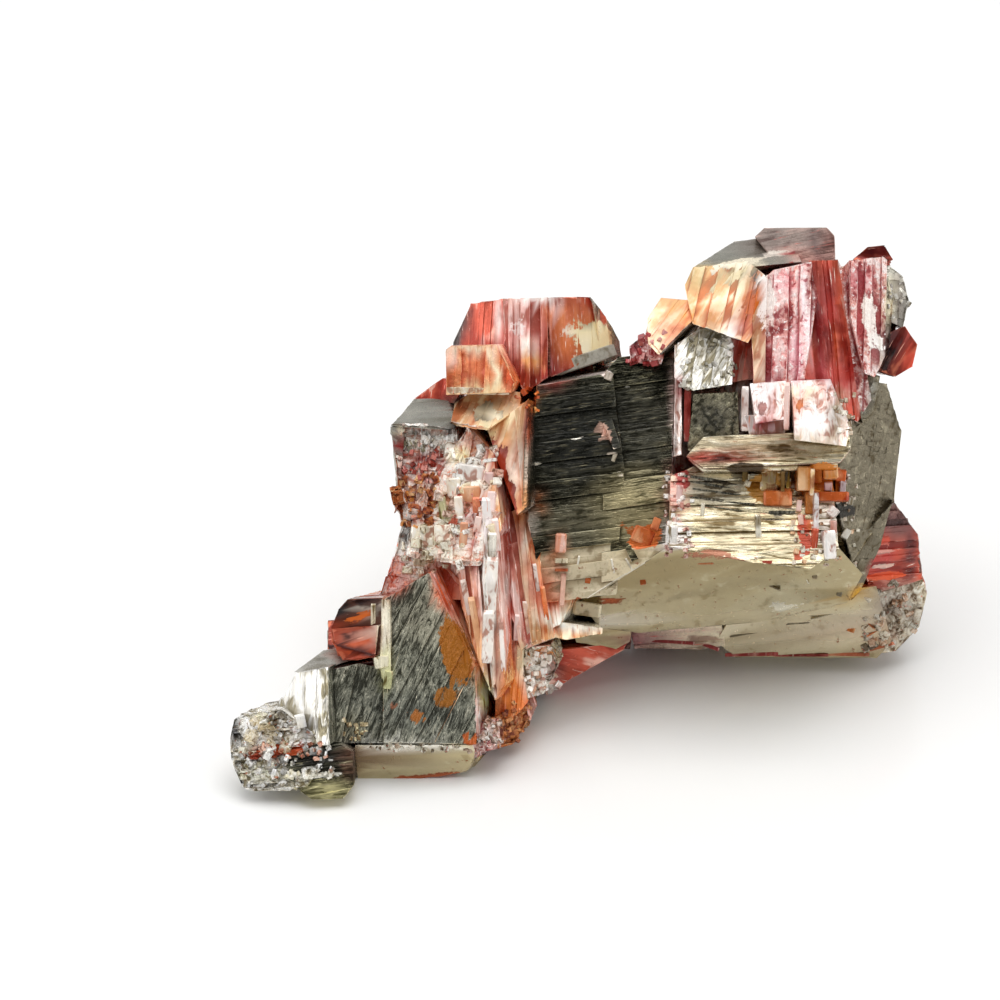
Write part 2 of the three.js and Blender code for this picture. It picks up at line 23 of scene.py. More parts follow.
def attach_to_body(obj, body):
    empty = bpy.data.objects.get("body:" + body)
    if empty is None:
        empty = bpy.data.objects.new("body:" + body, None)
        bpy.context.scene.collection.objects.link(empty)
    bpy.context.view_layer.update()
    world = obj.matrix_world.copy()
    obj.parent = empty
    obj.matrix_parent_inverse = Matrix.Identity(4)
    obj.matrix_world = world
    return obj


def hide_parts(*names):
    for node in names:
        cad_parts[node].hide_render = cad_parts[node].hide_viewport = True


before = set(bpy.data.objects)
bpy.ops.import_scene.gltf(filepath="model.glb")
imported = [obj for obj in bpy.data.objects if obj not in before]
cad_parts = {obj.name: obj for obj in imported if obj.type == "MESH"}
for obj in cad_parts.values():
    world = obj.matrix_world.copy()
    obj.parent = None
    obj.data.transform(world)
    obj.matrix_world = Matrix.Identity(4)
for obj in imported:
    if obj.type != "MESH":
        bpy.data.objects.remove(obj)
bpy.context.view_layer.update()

logging.basicConfig(level=logging.INFO, format="%(message)s")
LOG = logging.getLogger("pyrite")

# ---- Driving sizes ----
NODE = "pyrite_cluster"
GRID = 0.72  # mm, one square of the layout grid
LEAN = radians(30)  # from the display face to the upright
GRID_ORIGIN = np.array([0.49, -0.03, -20.6])  # squares, from the grid's origin to the row frame's
MM = 0.001  # metres in a millimetre

WELD = 4  # decimals of a millimetre at which two corners are one
FLAT = cos(radians(0.7))  # triangles that turn less than this belong to one face
BEVEL = 0.09  # mm, width of the rounding along a crystal's edge
ROUNDING = 0.028  # mm, how far the rounding takes an edge in
STRAIGHT = 0.8  # mm, longest stretch of an edge without a point
CLOSEST = 0.06  # mm, points nearer than this along an edge are one
SQUEEZE = 0.22  # share by which a face is shortened along its steps before it is meshed
SHARP = radians(24)  # edges that turn more than this stay crisp
THIN = 0.004  # mm, triangles lower than this say little of the way that they look
FOLDED = cos(radians(12))  # faces that turn more than this meet in a ridge or a seam
GROUND = 0.01  # mm, points lower than this stand on the floor
PASSES = 12  # most thin triangles in a row that a face can take in
END_ON = 0.8  # cosine between steps and a face's normal past which the steps run into the depth
SLANT = 0.45  # least sine between a ridge and the steps for the rim to follow the steps
HOLD = 0.04  # weight that keeps a point on an edge where it is
FARTHEST = 1.5  # most that such a point moves, in heights of its deepest step
BATCH = 2_000_000  # pairs of points and stretches that are measured at a time
FULL, FADE = 1.6, 1.2  # a mark covers fully inside (FULL - 1) / FADE of its rim, and ends at FULL / FADE

Floats = NDArray[np.float64]
Ints = NDArray[np.int64]


# ---- Frames ----

DISPLAY_AXES = np.array([[1, 0, 0], [0, cos(LEAN), -sin(LEAN)], [0, sin(LEAN), cos(LEAN)]])


def to_display(points: Floats) -> Floats:
    """Turns row-frame points in mm into display-frame points in mm."""
    return (points + GRID_ORIGIN * GRID) @ DISPLAY_AXES.T


def to_row(points: Floats) -> Floats:
    """Turns display-frame points in mm into row-frame points in mm."""
    return points @ DISPLAY_AXES - GRID_ORIGIN * GRID


# ---- Scene data ----


def link(name: str, data: bpy.types.ID) -> bpy.types.Object:
    """Makes an object of a mesh, a light or a camera and puts it in the scene."""
    made = bpy.data.objects.new(name, data)
    bpy.context.scene.collection.objects.link(made)
    return made


def write_layer(mesh: bpy.types.Mesh, name: str, domain: str, values: Floats) -> None:
    """Stores one number, or red, green, blue and alpha, for each item of a mesh.

    Args:
        mesh: the mesh.
        name: of the layer.
        domain: POINT, FACE or CORNER.
        values: one number or one row of four for each item.
    """
    kind, item = ("FLOAT", "value") if values.ndim == 1 else ("FLOAT_COLOR", "color")
    mesh.attributes.new(name, kind, domain).data.foreach_set(item, values.ravel().astype(np.float32))


# ---- Repeatable noise ----


def scatter(i: NDArray, j: NDArray, seed: int) -> Floats:
    """Gives each pair of whole numbers its own value from 0 to 1.

    The pair and the seed are multiplied by large odd numbers, added, and their bits are mixed.

    Args:
        i: first whole numbers.
        j: second whole numbers, of the same shape.
        seed: picks another set of values.

    Returns:
        The values, of the same shape.
    """
    mixed = i.astype(np.int64) * 374761393 + j.astype(np.int64) * 668265263 + seed * 1442695041
    mixed = (mixed ^ (mixed >> 13)) * 1274126177 & 0xFFFFFFFF
    mixed = (mixed ^ (mixed >> 16)) * 2246822519 & 0xFFFFFFFF
    return ((mixed ^ (mixed >> 15)) & 0xFFFFFF) / float(0x1000000)


def ripple(x: Floats, y: Floats, seed: int) -> Floats:
    """Smooth noise: one random value at each whole x and y, and a smooth blend between them.

    Args:
        x: places one way.
        y: places the other way.
        seed: picks another set of values.

    Returns:
        Values from -1 to 1.
    """
    i, j = np.floor(x), np.floor(y)
    u, v = x - i, y - j
    u, v = u * u * (3 - 2 * u), v * v * (3 - 2 * v)
    low = scatter(i, j, seed) * (1 - u) + scatter(i + 1, j, seed) * u
    high = scatter(i, j + 1, seed) * (1 - u) + scatter(i + 1, j + 1, seed) * u
    return 2 * (low * (1 - v) + high * v) - 1


# ---- Growth of a crystal face ----

SPAN = 60.0  # mm, half the stretch over which growth steps are laid out
RISER = 0.06  # mm, width of the slope between two steps


@dataclass(frozen=True)
class Habit:
    """How a crystal face grew: parallel steps, which may be broken into a mosaic of small blocks.

    Attributes:
        pitch: mm from one step to the next, on average.
        depth: mm from the highest step to the lowest.
        wander: mm by which a step strays sideways.
        reach: mm along a step over which its height changes.
        spacing: mm between mesh points along a step.
        blocks: mm, length of the mosaic's blocks, or 0 for unbroken steps.
        tilt: slope of each step's surface, up or down by chance.
        seed: picks another run of steps.
    """

    pitch: float = 0.42
    depth: float = 0.07
    wander: float = 0.06
    reach: float = 2.5
    spacing: float = 0.7
    blocks: float = 0.0
    tilt: float = 0.0
    seed: int = 1

    def starts(self, pitch: float, seed: int) -> Floats:
        """Places where steps start: a running sum of uneven widths around the pitch."""
        widths = pitch * (0.45 + 1.1 * np.random.default_rng(seed).random(int(2.4 * SPAN / pitch)))
        return np.cumsum(np.maximum(widths, 2.2 * RISER)) - SPAN

    def rows(self) -> Floats:
        """Places across the steps that need mesh points: the foot and the top of each riser."""
        starts = self.starts(self.pitch, self.seed)
        return np.stack([starts, starts + RISER], 1).ravel()

    def columns(self) -> Floats:
        """Places along the steps that need mesh points, before a row of blocks is shifted."""
        if self.blocks:
            starts = self.starts(self.blocks, self.seed + 50)
            return np.stack([starts, starts + RISER], 1).ravel()
        return np.arange(-SPAN, SPAN, self.spacing)

    def lattice(self, low: Floats, high: Floats) -> Floats:
        """Mesh points of the steps over a box.

        Args:
            low: the box's least places along and across.
            high: its greatest places.

        Returns:
            The points, as places along and across.
        """
        rows, columns = self.rows(), self.columns()
        step = np.repeat(np.arange(len(rows) // 2), 2) - np.tile([1, 0], len(rows) // 2)
        inside = (rows > low[1] - 0.3) & (rows < high[1] + 0.3)
        near = columns[(columns > low[0] - 1.5) & (columns < high[0] + 1.5)]
        s, t = (g.ravel() for g in np.meshgrid(near, rows[inside]))
        s = s + self.shift(np.repeat(step[inside], len(near)))
        return np.stack([s, t + self.sway(s, t)], 1)

    def shift(self, k: Ints) -> Floats:
        """How far the blocks of row k are pushed along it, so that joints don't line up."""
        return self.blocks * scatter(k, k * 0 + 9, self.seed)

    def sway(self, s: Floats, t: Floats) -> Floats:
        """Sideways stray of the steps: slow noise along and across them."""
        return self.wander * (ripple(s / 2.6, t / 5, self.seed) + 0.4 * ripple(s / 0.9, t / 3, self.seed + 7))

    def height(self, s: Floats, t: Floats) -> Floats:
        """Height over the flat face, zero or below.

        Across the steps, the place t less its sway falls in step k. The step's surface runs straight from
        one random height to another, both of which change slowly with s, and a riser joins it to the last
        step. In a mosaic each block has one random height, with risers both ways, and a third of its
        height comes from slow noise.

        Args:
            s: places along the steps, in mm.
            t: places across the steps, in mm.

        Returns:
            Heights in mm.
        """
        across = t - self.sway(s, t)
        starts = self.starts(self.pitch, self.seed)
        k = np.clip(np.searchsorted(starts, across) - 1, 1, len(starts) - 2)
        rise = np.clip((across - starts[k]) / RISER, 0, 1)
        share = np.clip((across - starts[k]) / (starts[k + 1] - starts[k]), 0, 1)
        if self.blocks:
            blocky = self._block(k - 1, s, 1.0 + 0 * share) * (1 - rise) + self._block(k, s, share) * rise
            return blocky - 0.3 * self.depth * (0.5 + 0.5 * ripple(s / 1.7, t / 1.7, self.seed))
        near, far = self._ends(k, s)
        return (1 - rise) * self._ends(k - 1, s)[1] + rise * (near + (far - near) * share)

    def _ends(self, k: Ints, s: Floats) -> tuple[Floats, Floats]:
        """Heights of the near and the far side of a step, which change slowly along it.

        Args:
            k: steps.
            s: places along them.

        Returns:
            Heights in mm of the two sides.
        """
        fade = 0.5 + 0.5 * ripple(s / self.reach, k * 7.31, self.seed + 1)
        lean = self.tilt * self.pitch * (0.5 + scatter(k, k * 0 + 3, self.seed))
        up = scatter(k, k * 0 + 4, self.seed) < 0.5
        near = -self.depth * scatter(k, k * 0 + 1, self.seed) * fade
        far = -self.depth * scatter(k, k * 0 + 2, self.seed) * fade
        return near - lean * up, far - lean * ~up

    def _block(self, k: Ints, s: Floats, share: Floats) -> Floats:
        """Height of a mosaic's blocks, tilted both ways by chance, with a riser at the start of each.

        Args:
            k: rows.
            s: places along the rows.
            share: places across each row, from 0 to 1.

        Returns:
            Heights in mm, zero or below.
        """
        ends, along = self.starts(self.blocks, self.seed + 50), s - self.shift(k)
        j = np.clip(np.searchsorted(ends, along) - 1, 1, len(ends) - 2)
        rise = np.clip((along - ends[j]) / RISER, 0, 1)
        part = np.clip((along - ends[j]) / (ends[j + 1] - ends[j]), 0, 1)
        heights = []
        for cell, place in ((j - 1, 1.0), (j, part)):
            leans = [self.tilt * self.blocks * (2 * scatter(cell, k, self.seed + n) - 1) for n in (1, 2)]
            tops = leans[0] * (place - 0.5) + leans[1] * (share - 0.5) - self.tilt * self.blocks
            heights.append(np.minimum(tops, 0) - 0.7 * self.depth * scatter(cell, k, self.seed))
        return heights[0] * (1 - rise) + heights[1] * rise


SMOOTH = Habit(pitch=2.8, depth=0.025, wander=0.25, spacing=1.2, seed=3)
FINE = Habit(pitch=0.36, depth=0.035, wander=0.05, spacing=1.0, seed=5)
WAVY = Habit(pitch=0.4, depth=0.09, wander=0.16, reach=1.4, spacing=0.6, tilt=0.12, seed=8)
FEATHERED = Habit(pitch=0.4, depth=0.05, wander=0.22, reach=1.1, spacing=0.6, tilt=0.05, seed=11)
BLADED = Habit(pitch=0.62, depth=0.07, wander=0.06, reach=4.0, spacing=0.9, tilt=0.17, seed=14)
PLAIN = Habit(pitch=0.85, depth=0.05, wander=0.1, reach=3.5, spacing=1.2, tilt=0.05, seed=17)
MOSAIC = Habit(pitch=0.62, depth=0.16, wander=0.08, blocks=0.85, tilt=0.2, seed=21)
RUBBLE = Habit(pitch=0.5, depth=0.22, wander=0.1, blocks=0.6, tilt=0.3, seed=25)
PITTED = Habit(pitch=0.55, depth=0.07, wander=0.12, blocks=0.7, tilt=0.1, seed=29)


# ---- Finishes ----


def linear(colour: str) -> tuple[float, float, float, float]:
    """Turns an sRGB hex colour into linear red, green, blue and alpha."""
    channels = np.array([int(colour[i : i + 2], 16) for i in (1, 3, 5)]) / 255
    straight = np.where(channels <= 0.04045, channels / 12.92, ((channels + 0.055) / 1.055) ** 2.4)
    return (*map(float, straight), 1.0)


def add_node(
    tree: bpy.types.NodeTree, kind: str, inputs: dict | None = None, output: int | str = 0, **settings
) -> bpy.types.NodeSocket | None:
    """Adds a node to a tree.

    Args:
        tree: the node tree.
        kind: the node's type name, without "ShaderNode".
        inputs: what feeds its inputs, by name or number: a socket, a plain value or an sRGB hex colour.
        output: name or number of the output that is wanted.
        **settings: the node's properties.

    Returns:
        The wanted output, or None if the node has no outputs.
    """
    node = tree.nodes.new("ShaderNode" + kind)
    for name, value in settings.items():
        setattr(node, name, value)
    for socket, value in (inputs or {}).items():
        if isinstance(value, bpy.types.NodeSocket):
            tree.links.new(value, node.inputs[socket])
        else:
            node.inputs[socket].default_value = linear(value) if isinstance(value, str) else value
    return node.outputs[output] if node.outputs else None


RANGE = ("Value", "From Min", "From Max", "To Min", "To Max")
MOTTLED = (0.9, 1.1)  # bands as long as they are wide
FLECKED = (1.7, 1.9)  # and smaller


@dataclass(frozen=True)
class Finish:
    """A pyrite surface: a metallic sulphide face, bare or under a tarnish film.

    Attributes:
        title: common name of the surface.
        face: sRGB colour of most of it.
        shade: sRGB colour that multiplies it in the dark bands.
        glint: sRGB colour of the bright bands and of the painted highlights along the ridges.
        fleck: sRGB colour of the flecks.
        dark: share of the face that the dark bands take.
        light: share of the face that the bright bands take.
        flecks: share of the face that the flecks take.
        roughness: of the face.
        metallic: 1 for bare sulphide, less under a film or crust.
        bump: relief of the fine striations, in steps of 0.03 mm.
        wave: relief of the broad bands, in steps of 0.12 mm.
        weave: bands to the millimetre along the growth steps and across them.
        veil: how much less metallic the face is where it is tinted or stained.
        streaks: how much fine streaks break up the bands.
        edge_highlight: how bright the painted highlights along the ridges are.
        swirl: how much bands and streaks curl.
        cloudy: how much the tone drifts over 2 mm.
    """

    title: str
    face: str
    shade: str
    glint: str
    fleck: str
    dark: float = 0.3
    light: float = 0.25
    flecks: float = 0.05
    roughness: float = 0.22
    metallic: float = 1.0
    bump: float = 0.8
    wave: float = 1.0
    weave: tuple[float, float] = (0.16, 1.1)
    veil: float = 0.45
    streaks: float = 0.2
    edge_highlight: float = 0.8
    swirl: float = 0.3
    cloudy: float = 1.0

    def material(self) -> bpy.types.Material:
        """Makes the node material.

        The face colour gives way to the painted tint, then to dark and bright bands that run along the
        growth steps, flecks, painted highlights on the ridges, painted shade in the creases, and at last to
        stains with ragged edges.
        """
        made = bpy.data.materials.new(self.title)
        made.use_nodes = True
        made.node_tree.nodes.clear()
        node = partial(add_node, made.node_tree)
        grain, place = node("UVMap", uv_map="Grain"), node("TexCoord", output="Object")
        shade, edge = (node("Attribute", output="Fac", attribute_name=name) for name in ("Shade", "Edge"))
        film, stain = (node("Attribute", output="Alpha", attribute_name=name) for name in ("Film", "Stain"))
        noises = []
        for source, scale, detail, curl in (
            (grain, (*self.weave, 1.0), 2.0, self.swirl),  # broad bands
            (grain, (0.5, 6.5, 1.0), 3.0, self.swirl),  # streaks 2 mm long and 0.15 mm wide
            (grain, (0.7, 9.0, 1.0), 2.0, 0.0),  # striations 0.11 mm wide
            (place, (2600.0,) * 3, 4.0, 0.0),  # flecks 0.4 mm across
            (place, (450.0,) * 3, 3.0, 0.0),  # clouds 2 mm across
        ):
            mapped = node("Mapping", {"Vector": source, "Scale": scale})
            inputs = {"Vector": mapped, "Scale": 1.0, "Detail": detail, "Roughness": 0.6, "Distortion": curl}
            noises.append(node("TexNoise", inputs))
        band, streak, fine, fleck, cloud = noises
        tone, ragged = band, stain
        for noise, weight in ((streak, self.streaks), (cloud, 0.6)):
            tone = node("Math", {0: noise, 1: weight, 2: tone}, operation="MULTIPLY_ADD")
        # painted highlight along the ridges: the fold, broken up by the flecks, picks out the convex edges
        edge_wear_and_highlight = node("Math", {0: fleck, 1: 1.2, 2: edge}, operation="MULTIPLY_ADD")
        for noise, weight in ((streak, 0.55), (fleck, 0.75)):
            ragged = node("Math", {0: noise, 1: weight, 2: ragged}, operation="MULTIPLY_ADD")
        middle = 0.5 * (1.6 + self.streaks)
        low, high = middle - 0.36 * (0.5 - self.dark), middle + 0.36 * (0.5 - self.light)
        rare = 0.68 - 0.36 * self.flecks
        chip = fleck if self.weave[0] > 0.8 else streak
        drift, shining, dark, bright, flecked, edge_highlight, crease_shade, stained, rough = (
            node("MapRange", dict(zip(RANGE, row)), interpolation_type="SMOOTHSTEP")
            for row in (
                (cloud, 0.3, 0.7, 1 - 0.2 * self.cloudy, 1 + 0.15 * self.cloudy),
                (film, 0.0, 1.0, 0.75, 0.3),
                (tone, low - 0.08, low + 0.06, 1.0, 0.0),
                (tone, high - 0.06, high + 0.1, 0.0, 1.0),
                (chip, rare - 0.05, rare + 0.05, 0.0, 1.0),
                # painted highlight on the convex edges, then painted shade along the concave ones
                (edge_wear_and_highlight, 1.05, 1.35, 0.0, self.edge_highlight),
                (edge, -1.0, -0.1, 1.0, 0.0),
                (ragged, 1.09, 1.21, 0.0, 1.0),
                (fleck, 0.3, 0.7, self.roughness * 0.7, self.roughness * 1.4),
            )
        )
        tint = node("Mix", {0: film, 6: self.face, 7: film.node.outputs["Color"]}, 2, data_type="RGBA")
        level = node("Math", {0: shade, 1: drift}, operation="MULTIPLY")
        tint = node("VectorMath", {0: tint, "Scale": level}, operation="SCALE")
        deep = node("VectorMath", {0: tint, 1: linear(self.shade)[:3]}, operation="MULTIPLY")
        pale = node("Mix", {0: shining, 6: tint, 7: self.glint}, 2, data_type="RGBA")
        # the ridges are painted in the glint colour as a highlight, the creases in the dark-band colour as
        # painted shade
        layers = ((dark, deep), (bright, pale), (flecked, self.fleck), (edge_highlight, pale), (crease_shade, deep))
        for cover, colour in (*layers, (stained, stain.node.outputs["Color"])):
            tint = node("Mix", {0: cover, 6: tint, 7: colour}, 2, data_type="RGBA")
        normal = node("Bump", {"Height": band, "Strength": 1.0, "Distance": self.wave * 0.00012})
        for height, depth in ((fine, self.bump * 0.00003), (fleck, self.bump * 0.00004)):
            inputs = {"Height": height, "Strength": 1.0, "Distance": depth, "Normal": normal}
            normal = node("Bump", inputs)
        cover = node("Math", {0: stained, 1: film}, operation="MAXIMUM")
        ends = (cover, 0.0, 1.0, self.metallic, max(self.metallic - self.veil, 0.1))
        metal = node("MapRange", dict(zip(RANGE, ends)), interpolation_type="SMOOTHSTEP")
        inputs = {"Base Color": tint, "Roughness": rough, "Normal": normal, "Metallic": metal}
        node("OutputMaterial", {"Surface": node("BsdfPrincipled", inputs)})
        return made


class Skin(Enum):
    """The finishes that the specimen's faces show."""

    # bare sulphide, smooth or ribbed: a grey to brassy mirror that darkens between its growth steps
    OLIVE = Finish(
        "Clean olive pyrite", "#baac88", "#e4dfd6", "#c6bc9e", "#8a5a3c",
        0.06, 0.06, 0.0, 0.2, 1.0, 0.1, 0.1, MOTTLED, 0.3, cloudy=0.25,
    )
    DULL = Finish(
        "Dull olive pyrite", "#cdbfa0", "#c8c0b4", "#ddd2b4", "#8a5a3c",
        0.1, 0.15, 0.02, 0.3, 0.1, 0.4, 0.3, MOTTLED, 0.2, cloudy=0.4,
    )
    OLIVE_ROUGH = Finish(
        "Rough olive pyrite", "#7e7664", "#c4bcae", "#a89f88", "#6c6454",
        0.15, 0.12, 0.05, 0.3, 0.85, 1.4, 0.6, FLECKED, cloudy=0.5,
    )
    # darker face: partly dark tarnish, partly a painted reflection of the dark room in front of the faces
    DARK = Finish(
        "Dark striated pyrite", "#5a584a", "#9a9a90", "#787258", "#b8ae8c",
        0.35, 0.22, 0.02, 0.2, 1.0, 0.9, 0.25, (0.6, 4.2), 0.5, 0.5, 0.3, 0.6,
    )
    SPOTTED = Finish(
        "Mottled dark pyrite", "#8c8670", "#86867c", "#b8b294", "#4c483c",
        0.35, 0.25, 0.1, 0.26, 0.75, 1.6, 0.8, FLECKED, edge_highlight=0.4,
    )
    SLATE = Finish(
        "Feathered grey pyrite", "#8e8e7e", "#80807a", "#cac6b2", "#e8e0c8",
        0.35, 0.22, 0.02, 0.24, 0.6, 1.2, 0.8, (0.7, 2.6), 0.3, 0.5, 0.6, 2.2,
    )
    CREAM = Finish(
        "Brassy cream pyrite", "#e4d6b0", "#8c7c5c", "#fdf6e0", "#b4684c",
        0.2, 0.3, 0.03, 0.22, 0.7, 0.8, 0.6, (0.35, 2.4), streaks=0.3, swirl=1.0,
    )
    SILVER = Finish(
        "Bright silver pyrite", "#dedacf", "#a8a088", "#ffffff", "#6f6a5a",
        0.25, 0.4, 0.06, 0.18, 0.65, 0.8, 1.0, (0.4, 1.4), swirl=1.4,
    )
    FOIL = Finish(
        "Crumpled silver pyrite", "#f2ecdc", "#a09682", "#ffffff", "#a86040",
        0.25, 0.5, 0.08, 0.18, 0.8, 3.0, 3.0, MOTTLED, swirl=1.5,
    )
    PALE = Finish(
        "Pale rose pyrite", "#f0ddd4", "#c49c90", "#ffffff", "#e89c84",
        0.2, 0.35, 0.05, 0.18, 0.5, 0.8, 1.0, (0.8, 1.2), swirl=1.0,
    )
    GREY = Finish(
        "Smooth grey pyrite", "#aaa89e", "#d8d4cc", "#bcb9ae", "#86827a",
        0.12, 0.12, 0.02, 0.26, 0.8, 0.2, 0.2, cloudy=0.6,
    )
    # sulphide under a thin film: the same steps, with the mirror turned red, rose, orange or gold
    RED = Finish(
        "Peacock red tarnish", "#cc5840", "#cc9c92", "#f8c8b4", "#ffe4d4",
        0.2, 0.2, 0.02, 0.2, 0.5, 0.4, 0.5, (0.2, 0.8), streaks=0.1, swirl=0.6,
    )
    PINK = Finish(
        "Rose tarnish", "#eeaa9a", "#d8aca4", "#fff0ea", "#fff0ea",
        0.14, 0.42, 0.03, 0.2, 0.3, 0.5, 0.6, (0.3, 1.1), swirl=0.8,
    )
    ORANGE = Finish(
        "Orange tarnish", "#e67c44", "#d09c8c", "#f9d4a4", "#9a4430",
        0.2, 0.2, 0.04, 0.22, 0.45, 0.5, 0.5, (0.25, 0.7), streaks=0.1, swirl=0.6,
    )
    PEACH = Finish(
        "Peach gold tarnish", "#eeb480", "#dcac94", "#fff0d0", "#c87048",
        0.12, 0.38, 0.03, 0.2, 0.35, 0.4, 0.5, (0.25, 0.8), streaks=0.15, swirl=0.6,
    )
    GOLD = Finish(
        "Golden pyrite", "#dca450", "#c49468", "#ffe9a0", "#8a4420",
        0.3, 0.25, 0.06, 0.2, 0.65, 0.7, 0.8,
    )
    # limonite, an iron oxide: a matt brown crust
    RUST = Finish(
        "Rust-brown limonite", "#c47038", "#a87868", "#f0cc94", "#6a2a1c",
        0.35, 0.2, 0.12, 0.35, 0.35, 2.0, 0.9, FLECKED,
    )
    # thicker films: a glassy dark red and a dusty plum
    GARNET = Finish(
        "Dark red tarnish", "#7a281e", "#6c5048", "#e88460", "#f0b098",
        0.3, 0.12, 0.02, 0.16, 0.5, 0.3, 0.4, (0.3, 0.8), streaks=0.1,
    )
    PLUM = Finish(
        "Plum brown tarnish", "#8c6a62", "#bca6a2", "#dcb4a8", "#b85a50",
        0.3, 0.2, 0.05, 0.28, 0.6, 0.8, 0.5,
    )
    # crusts of crystals too small to model: speckled, with bright points
    SPECKLED = Finish(
        "Speckled brassy crust", "#dcd0b4", "#94806c", "#fffdf0", "#b8604a",
        0.3, 0.4, 0.08, 0.2, 0.6, 2.0, 1.4, FLECKED, swirl=0.8,
    )
    ROSE_CRUST = Finish(
        "Speckled rose crust", "#e8a89c", "#b8747c", "#fff6f2", "#fff6f2",
        0.28, 0.4, 0.2, 0.22, 0.4, 1.6, 1.2, FLECKED, swirl=0.3,
    )
    CREAM_CRUST = Finish(
        "Speckled cream crust", "#fdf0e2", "#dca898", "#fffdf8", "#e89478",
        0.14, 0.6, 0.14, 0.2, 0.2, 2.0, 1.6, FLECKED, swirl=1.0,
    )


class Facing(Enum):
    """Which way a crystal face looks, in the display frame."""

    ANY = (0.0, 0.0, 0.0)
    FRONT = (0.0, -1.0, 0.0)
    LEFT = (-1.0, 0.0, 0.0)
    RIGHT = (1.0, 0.0, 0.0)
    UP = (0.0, 0.0, 1.0)
    DOWN = (0.0, 0.0, -1.0)
    BACK = (0.0, 1.0, 0.0)


TOWARDS = 0.55  # least cosine between a face and the way it is said to look


@dataclass(frozen=True)
class Patch:
    """A stretch of the specimen whose faces share a finish and a habit.

    Attributes:
        x: lowest and highest place across, in squares.
        z: lowest and highest place up the display face, in squares.
        skin: the finish.
        habit: how the faces grew.
        lie: degrees from the x axis to the growth steps on the display face.
        facing: the way the faces look.
        depth: nearest and furthest place from the viewer, in squares.
    """

    x: tuple[float, float]
    z: tuple[float, float]
    skin: Skin
    habit: Habit = PLAIN
    lie: float = 0.0
    facing: Facing = Facing.ANY
    depth: tuple[float, float] = (-30.0, 7.0)

    def holds(self, centres: Floats, normals: Floats) -> NDArray[np.bool_]:
        """Picks the faces that belong to this patch.

        Args:
            centres: of the faces, in squares.
            normals: of the faces.

        Returns:
            True for each face that does.
        """
        inside = np.ones(len(centres), bool)
        for axis, (low, high) in zip((0, 1, 2), (self.x, self.depth, self.z)):
            inside &= (centres[:, axis] > low) & (centres[:, axis] < high)
        if self.facing is not Facing.ANY:
            inside &= normals @ np.array(self.facing.value) > TOWARDS
        return inside

    def along(self) -> Floats:
        """The direction of the growth steps in the display frame."""
        return np.array([cos(radians(self.lie)), 0.0, sin(radians(self.lie))])


@dataclass(frozen=True)
class Tint:
    """A soft change of colour on part of a face: an ellipse that fades out, painted from the display side.

    Attributes:
        x: middle, in squares across.
        z: middle, in squares up.
        wide: half width, in squares.
        tall: half height, in squares.
        colour: sRGB hex.
        turn: degrees by which the ellipse is turned.
        strength: cover at the middle.
        facing: the way the painted faces look.
        depth: nearest and furthest place from the viewer that it reaches, in squares.
    """

    x: float
    z: float
    wide: float
    tall: float
    colour: str
    turn: float = 0.0
    strength: float = 0.9
    facing: Facing = Facing.ANY
    depth: tuple[float, float] = (-30.0, 6.0)

    def cover(self, places: Floats, normals: Floats) -> Floats:
        """How strongly it covers each place.

        The place is turned into the ellipse's own axes and divided by its half sizes, and the cover falls
        from full at the middle to nothing at one and a third times the rim.

        Args:
            places: in the display frame, in squares.
            normals: of the faces there.

        Returns:
            Covers from 0 to the mark's strength.
        """
        a = radians(self.turn)
        dx, dz = places[:, 0] - self.x, places[:, 2] - self.z
        u = (dx * cos(a) + dz * sin(a)) / self.wide
        v = (dz * cos(a) - dx * sin(a)) / self.tall
        near = (places[:, 1] > self.depth[0]) & (places[:, 1] < self.depth[1])
        if self.facing is not Facing.ANY:
            near &= normals @ np.array(self.facing.value) > TOWARDS
        return self.strength * np.clip(FULL - FADE * np.hypot(u, v), 0, 1) * near


class Stain(Tint):
    """A tint with a ragged edge."""


@dataclass(frozen=True)
class Nugget:
    """A small crystal that stands on a face: a box with its edges cut off.

    Attributes:
        x: middle, in squares across.
        z: middle, in squares up.
        wide: width, in squares.
        tall: height, in squares.
        colour: sRGB hex.
        skin: the finish.
        turn: degrees by which it is turned on the display face.
        proud: squares by which it stands out.
        rear: whether it stands on the far side.
        tip: most degrees by which it leans, at random.
    """

    x: float
    z: float
    wide: float
    tall: float
    colour: str
    skin: Skin = Skin.CREAM
    turn: float = 0.0
    proud: float = 0.3
    rear: bool = False
    tip: float = 9.0


@dataclass(frozen=True)
class Vein(Nugget):
    """A crack, vein or spot: a nugget so thin that it lies flat on its face."""

    skin: Skin = Skin.DULL
    proud: float = 0.06
    tip: float = 0.0


@dataclass(frozen=True)
class Sprinkle:
    """Many small crystals scattered over a stretch of the specimen.

    Attributes:
        x: lowest and highest place across, in squares.
        z: lowest and highest place up the display face, in squares.
        count: how many.
        size: smallest and largest width, in squares.
        colours: sRGB hex colours with spaces between, drawn from by chance.
        skin: the finish.
        turn: degrees by which they are turned, give or take.
        proud: squares by which they stand out.
        rear: whether they stand on the far side.
        tip: most degrees by which they lean.
    """

    x: tuple[float, float]
    z: tuple[float, float]
    count: int
    size: tuple[float, float]
    colours: str
    skin: Skin = Skin.SPECKLED
    turn: float = 20.0
    proud: float = 0.25
    rear: bool = False
    tip: float = 26.0

    def nuggets(self, seed: int) -> list[Nugget]:
        """Scatters the crystals: places, sizes, turns and colours are drawn evenly from their ranges.

        Args:
            seed: picks another scatter.

        Returns:
            The crystals.
        """
        draw = np.random.default_rng(seed)
        colours = self.colours.split()
        made = []
        for _ in range(self.count):
            shape = draw.uniform(*self.x), draw.uniform(*self.z), *draw.uniform(*self.size, 2)
            colour = colours[draw.integers(len(colours))]
            turn, proud = draw.uniform(-self.turn, self.turn), self.proud * draw.uniform(0.4, 1.3)
            made.append(Nugget(*shape, colour, self.skin, turn, proud, self.rear, self.tip))
        return made


# ---- Sub-assemblies of the cluster ----

REAR = (0.0, 40.0)  # squares of depth that the heel and the back take


